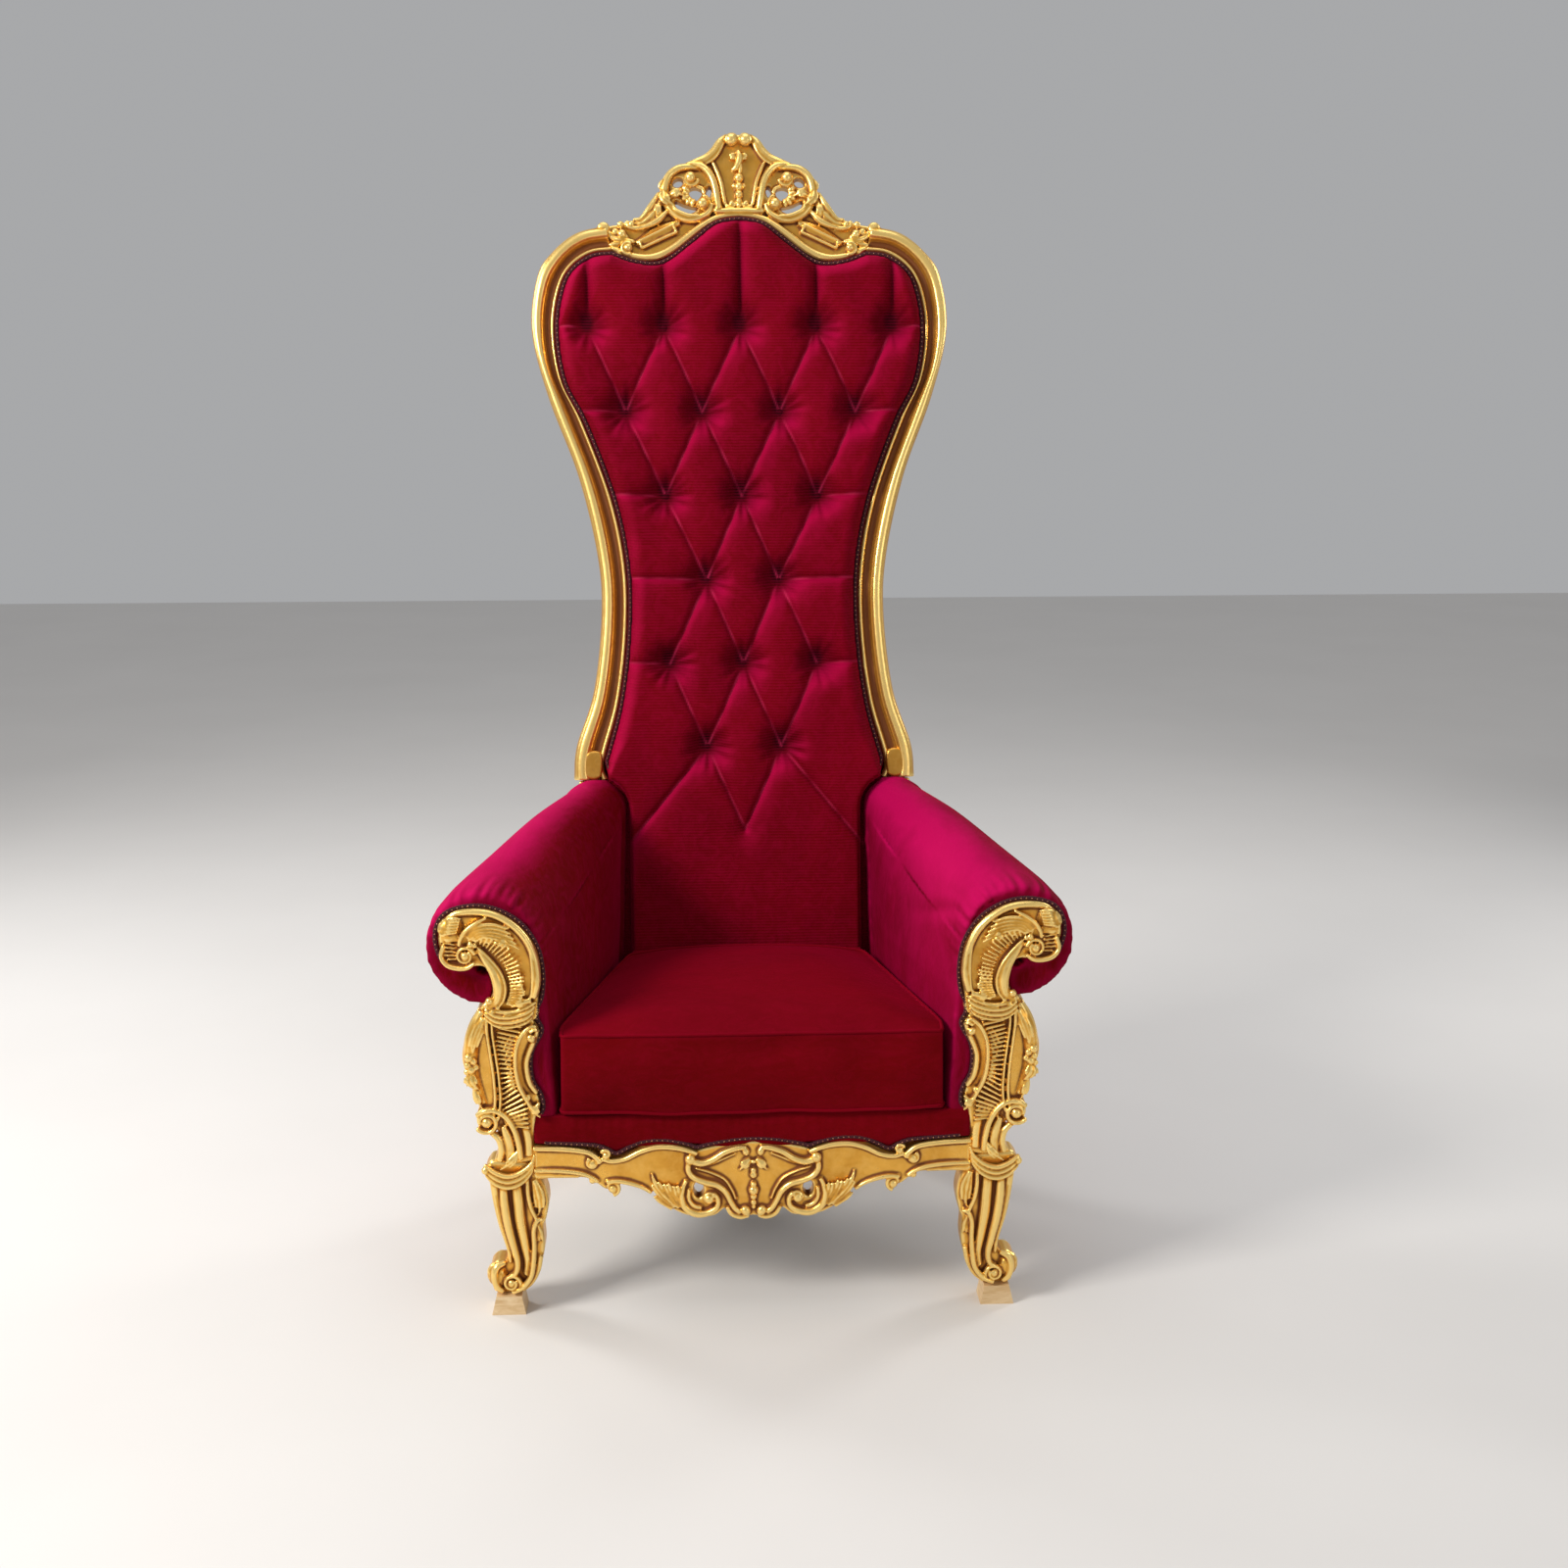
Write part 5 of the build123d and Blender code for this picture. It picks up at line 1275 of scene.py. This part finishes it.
def make_arm():
    ob = from_cad("right_arm_pad_velvet", "right_arm_pad", 6)
    co = inflate(ob, 4, 9, arm_held)
    set_verts(ob.data, co)
    finer(ob, smooth=4)
    p = verts_of(ob.data) / MM
    no = normals_of(ob.data)
    t = np.clip((p[:, 1] - ARM_FRONT_Y) / (ARM_BACK_Y - ARM_FRONT_Y), 0, 1)
    cx = ROLL_FRONT[0] + (ROLL_BACK[0] - ROLL_FRONT[0]) * t
    cz = ROLL_FRONT[1] + (ROLL_BACK[1] - ROLL_FRONT[1]) * t
    ang = np.arctan2(p[:, 2] - cz, p[:, 0] - cx)
    # gathers that run back from the nailed front edge
    gather = np.cos(ang * 21 + 1.5 * np.sin(ang * 5)) + 0.6 * np.cos(ang * 37 + 1)
    near = np.exp(-((p[:, 1] - ARM_FRONT_Y) / 26) ** 2) * (p[:, 1] > ARM_FRONT_Y + 1)
    on_roll = np.clip((p[:, 2] - 560) / 60, 0, 1)
    wave = 1.5 * np.sin(p[:, 1] * 0.018 + ang * 1.7) * on_roll
    facing_up = np.clip(no[:, 2] + 0.3, 0, 1)
    dent = (1.2 * gather * near * on_roll * facing_up
            + wave * (1 - near) * np.clip((ARM_BACK_Y - p[:, 1]) / 160, 0, 1))
    barrel = 10 * np.sin(math.pi * np.clip(t * 1.02, 0, 1)) ** 0.8 * np.clip(0.35 + 0.65 * facing_up, 0, 1)
    p += no * (dent + barrel * np.clip((p[:, 2] - 420) / 120, 0, 1))[:, None]
    # the cover comes forward round the show wood, close behind its face
    bare = outside_by(p[:, 0], p[:, 2], SHOW_RING)
    near = np.clip((PULL_FROM_Y - p[:, 1]) / (PULL_FROM_Y - ARM_FRONT_Y), 0, 1.1)
    p[:, 1] -= PULL_BY * near ** 1.5 * np.clip((bare - 1.0) / 4, 0, 1) * np.clip((p[:, 2] - 300) / 10, 0, 1)
    # its front edge turns in towards the wood in a soft quarter round
    forward = np.clip((ARM_FRONT_Y - PULL_BY + EDGE_TURN - p[:, 1]) / EDGE_TURN, 0, 1)
    drop = EDGE_DROP * (1 - np.sqrt(1 - forward ** 2))
    rolled = np.clip((p[:, 2] - 540) / 60, 0, 1)
    k_roll, k_wall = 1 - drop / ROLL_FRONT[2], 1 - 0.6 * drop / 50
    x_roll, z_roll = (ROLL_FRONT[0] + (p[:, 0] - ROLL_FRONT[0]) * k_roll,
                      ROLL_FRONT[1] + (p[:, 2] - ROLL_FRONT[1]) * k_roll)
    x_wall = WALL_MID_X + (p[:, 0] - WALL_MID_X) * k_wall
    p[:, 0] = x_wall + (x_roll - x_wall) * rolled
    p[:, 2] += (z_roll - p[:, 2]) * rolled
    set_verts(ob.data, p * MM)
    soft = ob.modifiers.new("soften", "SMOOTH")
    soft.factor, soft.iterations = 0.5, 2
    bake(ob)
    mark_hollows(ob, rounds=(3, 20), reach=(0.8, 3.5))
    return own(ob, "frame", "velvet", ("right_arm_pad",))


right_arm = make_arm()
left_arm = twin(right_arm, "left_arm_pad_velvet", ("left_arm_pad",))

# loose seat cushion
CUSHION_FRONT, CUSHION_HALF, CUSHION_TAPER_Y, CUSHION_BACK_HALF, CUSHION_BACK_Y = -381, 313, -338, 211, 50
CUSHION_LOW, CUSHION_TOP = 345.5, 486.5
CUSHION_CROWN, CUSHION_CALM = 22, 14


def cushion_half(y):
    t = np.clip((y - CUSHION_TAPER_Y) / (CUSHION_BACK_Y - CUSHION_TAPER_Y), 0, 1)
    return CUSHION_HALF + (CUSHION_BACK_HALF - CUSHION_HALF) * t


def cushion_held(p, no):
    low = p[:, 2] < CUSHION_LOW + 4
    side = (np.abs(no[:, 0]) > 0.6) & (p[:, 1] > CUSHION_TAPER_Y)
    return np.where(low | (no[:, 1] > 0.6), 1.0, np.where(side, 0.5, 0.0))


def make_cushion():
    ob = from_cad("seat_cushion_velvet", "seat_cushion", 6)
    start = verts_of(ob.data).copy()
    co = start + relax(inflate(ob, 4, 13, cushion_held) - start, edges_of(ob.data), CUSHION_CALM)
    p, q = co / MM, start / MM
    box_in = np.clip(p[:, 1] - CUSHION_TAPER_Y, 0, 1)
    out = np.abs(p[:, 0]) - np.abs(q[:, 0])
    p[:, 0] -= np.sign(q[:, 0]) * np.clip(out + 0.5, 0, None) * box_in
    # the crown of the top, fullest in the middle, and a slack front boxing
    u = q[:, 0] / cushion_half(q[:, 1])
    v = (q[:, 1] - CUSHION_FRONT) / (CUSHION_BACK_Y - CUSHION_FRONT)
    crown = np.clip(1 - u ** 2, 0, 1) ** 0.8 * np.clip(1 - (2 * v - 1) ** 2, 0, 1)
    top = np.clip((q[:, 2] - CUSHION_TOP + 8) / 8, 0, 1)
    p[:, 2] += top * crown * CUSHION_CROWN
    slack = 1.6 * np.sin(q[:, 0] * 0.021 + 0.5) * np.sin(q[:, 2] * 0.05) + 1.0 * np.sin(q[:, 0] * 0.047 + 2)
    face = np.clip((CUSHION_FRONT + 8 - q[:, 1]) / 8, 0, 1)
    p[:, 1] -= face * slack
    corner = np.clip((np.abs(u) - 0.86) / 0.14, 0, 1) ** 2 * np.clip(1 - v * 6, 0, 1)
    p[:, 2] -= corner * 5 * top
    set_verts(ob.data, p * MM)
    finer(ob, smooth=2)
    mark_hollows(ob, rounds=(3, 24), reach=(0.8, 4.0))
    return own(ob, "cushion", "velvet", ("seat_cushion", "cushion_foam"))


cushion = make_cushion()


def snapped(ob, points, away=0.6):
    """Points in mm, moved to the nearest place on a piece and a little off it."""
    bm = bmesh.new()
    bm.from_mesh(ob.data)
    tree = BVHTree.FromBMesh(bm)
    bm.free()
    out = []
    for p in points:
        at, no, *_ = tree.find_nearest(Vector(p) * MM)
        out.append((at + no * away * MM) / MM)
    return np.array(out)


def cushion_ring(z, inset=2.0, corner=14):
    f, s, t, b = CUSHION_FRONT + inset, CUSHION_HALF - inset, CUSHION_TAPER_Y, CUSHION_BACK_Y - 26
    bh = cushion_half(np.array(b)) - inset
    pts = [(-s, f), (s, f), (s, t), (bh, b), (-bh, b), (-s, t)]
    out = []
    for i, p in enumerate(pts):
        a, c = np.array(pts[i - 1], float), np.array(pts[(i + 1) % 6], float)
        p = np.array(p, float)
        r = corner if i in (0, 1, 3, 4) else 8
        pa, pc = p + (a - p) / np.linalg.norm(a - p) * r, p + (c - p) / np.linalg.norm(c - p) * r
        out += [(1 - k) ** 2 * pa + 2 * k * (1 - k) * p + k * k * pc for k in np.linspace(0, 1, 7)]
    out = np.array(out)
    dense = []
    for a, c in zip(out, np.roll(out, -1, axis=0)):
        n = max(1, int(np.linalg.norm(c - a) / 9))
        dense += [a + (c - a) * k / n for k in range(n)]
    return np.array([(*d, z) for d in dense])


def even_out(p, rounds=3):
    for _ in range(rounds):
        p = (np.roll(p, 1, axis=0) + 2 * p + np.roll(p, -1, axis=0)) / 4
    return p


for label, z in (("top", CUSHION_TOP - 1), ("bottom", CUSHION_LOW + 7)):
    line = even_out(snapped(cushion, cushion_ring(z), 0.8))
    welt = tube("seat_cushion_welt_" + label, line, 3.1, as_is, body="cushion", slot="velvet", closed=True)
    mark_hollows(welt)
    dress(welt, VELVET_SEAT)

# velvet band over the seat's front rail
BAND_LOW, BAND_HIGH = 278, 345


def make_band():
    ob = from_cad("seat_front_band_velvet", "seat_front_band", 4)
    p = verts_of(ob.data) / MM
    t = np.clip((p[:, 2] - BAND_LOW) / (BAND_HIGH - BAND_LOW), 0, 1)
    front = np.clip((-366 - p[:, 1]) / 10, 0, 1)
    p[:, 1] -= front * (7 * np.sin(math.pi * np.clip(t * 1.1, 0, 1)) ** 0.7 - 2.5)
    p[:, 1] -= front * 0.5 * np.sin(p[:, 0] * 0.35 + np.sin(p[:, 0] * 0.05) * 3) * t
    p[:, 0] += np.sign(p[:, 0]) * 15 * np.clip((np.abs(p[:, 0]) - 300) / 41, 0, 1)
    set_verts(ob.data, p * MM)
    finer(ob, smooth=3)
    mark_hollows(ob, rounds=(3, 20), reach=(0.8, 3.5))
    return own(ob, "frame", "velvet", ("seat_front_band",))


band = make_band()

# padded deck under the cushion
deck = from_cad("seat_deck_pad", "seat_deck", 9)
p = verts_of(deck.data) / MM
lift = np.clip((p[:, 2] - 335) / 10, 0, 1) * (p[:, 2] > 335)
p[:, 2] -= lift * 1.5 * (1 + np.sin(p[:, 0] * 0.03) * np.sin(p[:, 1] * 0.03))
set_verts(deck.data, p * MM)
finer(deck, smooth=3, levels=0)
own(deck, "frame", "velvet", ("seat_deck",))


# outside panels
PANEL_FRONT, PANEL_THICK, PANEL_AS = -42, 4, 18


def make_outside_back():
    right = [(304, s) for s in range(-555, -10, 30)] + [(290, -2), (276, 14), (267, 28)]
    right += [(x + 7, s) for x, s in open_edge if s > 50]
    ring = right + [(-x, s) for x, s in reversed(right[:-1])]
    clay = Clay()
    clay.plate(ring, PANEL_FRONT - PANEL_AS, PANEL_FRONT, edge=3)
    ob = new_object("outside_back_velvet", np.vstack(clay.verts) * MM, clay.faces)
    m = ob.modifiers.new("even", "REMESH")
    m.mode, m.voxel_size = "VOXEL", 6 * MM
    bake(ob)
    p = verts_of(ob.data) / MM
    x, s = p[:, 0], p[:, 1]
    back_half = np.clip((PANEL_FRONT - p[:, 2]) / PANEL_AS, 0, 1)
    edge = edge_distance(x, s, ring)
    full = np.sqrt(np.clip(1 - (1 - np.clip(edge / 70, 0, 1)) ** 2, 0, 1))
    slack = 0.9 * np.sin(x * 0.017 + s * 0.009) * np.sin(s * 0.012 + 1)
    p[:, 2] = PANEL_FRONT - back_half * (PANEL_THICK + full * (5 + slack))
    set_verts(ob.data, on_back(p))
    finer(ob, smooth=2, levels=0)
    face_out(ob)
    mark_hollows(ob, rounds=(3, 20), reach=(0.6, 3.0))
    return own(ob, "frame", "velvet", ("outside_back",))


outside_back = make_outside_back()


PANEL_LOW_Z, PANEL_TOP_FRONT_Z, PANEL_TOP_BACK_Z = 288, 535, 717
WALL_FRONT_X, WALL_BACK_X = 402, 306
PANEL_LOW_BACK_Y, PANEL_TOP_BACK_Y = 89, 169


def make_outside_arm(nu=90, nw=60, puff=5.0):
    """A thin stuffed panel on the arm's slanted outer wall."""
    u, w = np.meshgrid(np.linspace(0, 1, nu + 1), np.linspace(0, 1, nw + 1))
    z = PANEL_LOW_Z + w * 300
    for _ in range(6):
        back_y = (PANEL_LOW_BACK_Y + (PANEL_TOP_BACK_Y - PANEL_LOW_BACK_Y) * (z - PANEL_LOW_Z)
                  / (PANEL_TOP_BACK_Z - PANEL_LOW_Z))
        y = ARM_FRONT_Y + 1 + u * (back_y - ARM_FRONT_Y - 2)
        top = (PANEL_TOP_FRONT_Z + (PANEL_TOP_BACK_Z - PANEL_TOP_FRONT_Z) * (y - ARM_FRONT_Y)
               / (PANEL_TOP_BACK_Y - ARM_FRONT_Y))
        z = PANEL_LOW_Z + w * (top - PANEL_LOW_Z)
    x = WALL_FRONT_X + (WALL_BACK_X - WALL_FRONT_X) * (y - ARM_FRONT_Y) / (ARM_BACK_Y - ARM_FRONT_Y)
    run = np.array([ARM_BACK_Y - ARM_FRONT_Y, WALL_FRONT_X - WALL_BACK_X, 0.0])
    run /= np.linalg.norm(run)
    wall = np.stack([x, y, z], -1).reshape(-1, 3)
    rim = 1 - np.maximum(np.abs(2 * u - 1) ** 10, np.abs(2 * w - 1) ** 8)
    full = np.sqrt(np.clip(rim, 0, 1)) * (puff + 0.8 * np.sin(u * 9 + w * 4) * np.sin(w * 7)) + 2.2
    outer = wall + run * full.reshape(-1, 1)
    inner = wall + run * 0.4
    verts = np.vstack([outer, inner])
    n, faces = (nu + 1) * (nw + 1), []
    at = lambda i, j, k=0: j * (nu + 1) + i + k * n
    for j in range(nw):
        for i in range(nu):
            faces.append((at(i, j), at(i + 1, j), at(i + 1, j + 1), at(i, j + 1)))
            faces.append((at(i, j, 1), at(i, j + 1, 1), at(i + 1, j + 1, 1), at(i + 1, j, 1)))
    edge = [(i, 0) for i in range(nu)] + [(nu, j) for j in range(nw)]
    edge += [(i, nw) for i in range(nu, 0, -1)] + [(0, j) for j in range(nw, 0, -1)]
    for a, b in zip(edge, edge[1:] + edge[:1]):
        faces.append((at(*a), at(*a, 1), at(*b, 1), at(*b)))
    ob = new_object("right_outside_arm_velvet", verts * MM, faces)
    face_out(ob)
    mark_hollows(ob, rounds=(3, 20), reach=(0.6, 3.0))
    return own(ob, "frame", "velvet", ("right_outside_arm",))


right_outside = make_outside_arm()
left_outside = twin(right_outside, "left_outside_arm_velvet", ("left_outside_arm",))


# back legs and side rails: plain gilt wood with softened edges
def make_plain(name, node, voxel=2.4, rounds=5):
    ob = from_cad(name, node, voxel)
    finer(ob, smooth=rounds, levels=0)
    mark_hollows(ob)
    return own(ob, "frame", "gilt_wood", (node,))


plain_pieces = []
for node in ("back_leg", "side_rail"):
    one = make_plain(f"right_{node}_gilt", f"right_{node}")
    plain_pieces += [one, twin(one, f"left_{node}_gilt", (f"left_{node}",))]

# black cloth under the seat
low, high = (np.array(c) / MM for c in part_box("dust_cover"))
corners = verts_of(frame_object("dust_cover").data) / MM
front_half = np.abs(corners[corners[:, 1] < low[1] + 3][:, 0]).max()
back_half = np.abs(corners[corners[:, 1] > high[1] - 3][:, 0]).max()
COVER_CELLS, COVER_SAG, COVER_PUCKER = 60, 5.5, 0.5
cover_verts, cover_faces = [], []
for j in range(COVER_CELLS + 1):
    for i in range(COVER_CELLS + 1):
        u, v = 2 * i / COVER_CELLS - 1, j / COVER_CELLS
        half_w = front_half + (back_half - front_half) * v
        sag = COVER_SAG * (1 - u ** 4) * (1 - (2 * v - 1) ** 4)
        pucker = COVER_PUCKER * math.sin(u * 40) * max(0, 1 - (1 - abs(2 * v - 1)) * 14)
        cover_verts.append((u * half_w, low[1] + (high[1] - low[1]) * v, low[2] + 0.5 - sag + pucker))
        if i < COVER_CELLS and j < COVER_CELLS:
            a0 = j * (COVER_CELLS + 1) + i
            cover_faces.append((a0, a0 + 1, a0 + COVER_CELLS + 2, a0 + COVER_CELLS + 1))
dust = new_object("dust_cover_cloth", np.array(cover_verts) * MM, cover_faces)
own(dust, "frame", "black_cambric", ("dust_cover",))


# ---------------------------------------------------------------- gimp and its nails
def braid(name, path, place, nodes=(), studs=True, pitch=7.5, out=1.5):
    """Two strands that weave about a core along path (u, v), with small nail heads beside them."""
    length = np.linalg.norm(np.diff(spline(path, 300), axis=0), axis=1).sum()
    count = int(length / 1.4)
    c = by_length(path, count)
    t = tangents(c)
    n = np.stack([-t[:, 1], t[:, 0]], 1)
    run = np.linspace(0, length, count)
    clay_parts = []
    for k in (0, 1):
        ph = run / pitch * 2 * math.pi + k * math.pi
        q = np.column_stack([c + n * (2.3 * np.sin(ph))[:, None], out + 0.9 * np.cos(ph)])
        clay_parts.append(tube(f"{name}_{k}", q, 1.7, place, body=None, sides=6))
    core = np.column_stack([c, np.full(count, out - 0.6)])
    clay_parts.append(tube(f"{name}_c", core, 2.4, place, body=None, sides=6))
    bm = bmesh.new()
    for o in clay_parts:
        bm.from_mesh(o.data)
        me = o.data
        bpy.data.objects.remove(o)
        bpy.data.meshes.remove(me)
    me = bpy.data.meshes.new(name)
    bm.to_mesh(me)
    bm.free()
    me.shade_smooth()
    ob = bpy.data.objects.new(name, me)
    bpy.context.scene.collection.objects.link(ob)
    own(ob, "frame", "gimp_braid", nodes)
    dress(ob, BRAID)
    if studs:
        heads = Clay()
        for x, y in by_length(path, int(length / 8.5)):
            heads.ball(x, y, out + 2.2, 1.25, flat=0.7)
        so = new_object(name + "_nails", place(np.vstack(heads.verts)), heads.faces)
        face_out(so)
        own(so, "frame", "gimp_braid")
        dress(so, STUD)
    return ob


def inward(run, by):
    t = tangents(run)
    return run + np.stack([-t[:, 1], t[:, 0]], 1) * by


edge_run = np.array([(250, -8)] + open_edge, float)
inner_run = by_length(inward(edge_run, 4.2), 220)
both = [*inner_run.tolist(), *[(-x, s) for x, s in inner_run[::-1][1:]]]
braid("back_gimp_braid", by_length(both, 420), on_back, ("back_gimp",), out=2.5)

# the outside back is closed with the same braid
rear_right = [(299, s) for s in range(-548, -20, 24)] + [(296, -14), (284, 6), (270, 22), (260, 36)]
rear_right += [(x + 2, s) for x, s in open_edge if s > 60]
rear_run = rear_right + [(-x, s) for x, s in reversed(rear_right[:-1])]
REAR_D = -45
braid("outside_back_braid", rear_run, lambda q: on_back(q * (-1, 1, -1) + (0, 0, REAR_D)), out=2.0)

GIMP_OFF, GIMP_OUT = 5.0, -13
arm_edge = [(487, 607), (503, 622), (507, 648), (500, 680), (480, 703), (440, 711), (402, 705), (368, 687),
            (345, 662), (331, 632), (326, 603), (325, 576), (329, 545), (334, 512), (328, 494), (340, 470),
            (346, 440), (344, 408), (333, 388), (330, 366), (336, 345)]
wood_edge = by_length(SHOW_RING + SHOW_RING[:1], 900)
hug = []
for q in by_length(arm_edge, 260):
    near = wood_edge[np.argmin(np.linalg.norm(wood_edge - q, axis=1))]
    hug.append(near + (q - near) / np.linalg.norm(q - near) * GIMP_OFF)
hug = by_length(np.array([np.mean(hug[max(0, i - 2):i + 3], axis=0) for i in range(len(hug))]), 260)
for sg, side in ((1, "right"), (-1, "left")):
    braid(side + "_arm_gimp_braid", [(sg * x, z) for x, z in hug],
          lambda q: on_front(q + (0, 0, GIMP_OUT)), (side + "_arm_gimp",), out=1.5)

seat_top = [(0, 303), (40, 300), (76, 293), (92, 289), (106, 294), (140, 302), (176, 301), (202, 291),
            (222, 281), (236, 287), (250, 294), (270, 297), (310, 300), (338, 302)]
seat_line = [(-x, z) for x, z in seat_top[::-1]] + seat_top[1:]
braid("seat_gimp_braid", by_length(seat_line, 300), on_front, ("seat_gimp",), out=-8.0)

# ---------------------------------------------------------------- finishes
for o in (right_scroll, left_scroll, right_post, left_post, right_leg, left_leg, apron_piece, right_stile,
          left_stile, crest_piece):
    dress(o, GILT)
for o in (back_pad, buttons, outside_back):
    dress(o, VELVET_BACK)
for o in plain_pieces:
    dress(o, GILT)
for o in (right_plug, left_plug):
    dress(o, GILT_PLAIN)
dress(dust, CAMBRIC)
for o in (right_arm, left_arm, right_outside, left_outside):
    dress(o, VELVET_ARM)
for o in (cushion, band, deck):
    dress(o, VELVET_SEAT)
CARRIED = {"foot_block": BLOCK_WOOD, "back_seat_rail": GILT_PLAIN, "front_cross_rail": FRAME_WOOD,
           "corner_blocks": FRAME_WOOD, "post_dowels": FRAME_WOOD, "back_lower_rail": FRAME_WOOD,
           "back_middle_rail": FRAME_WOOD, "arm_rail": FRAME_WOOD, "corner_bolts": STEEL,
           "hanger_bolts": STEEL, "seat_webbing": JUTE, "back_webbing": JUTE, }
for node in frame["nodes"]:
    for part, mat in CARRIED.items():
        if node == part or node == "left_" + part or node == "right_" + part:
            ob = frame_object(node)
            for s in ob.material_slots:
                s.material = mat
            if not ob.material_slots:
                ob.data.materials.append(mat)
bpy.context.scene.view_settings.view_transform = "Standard"
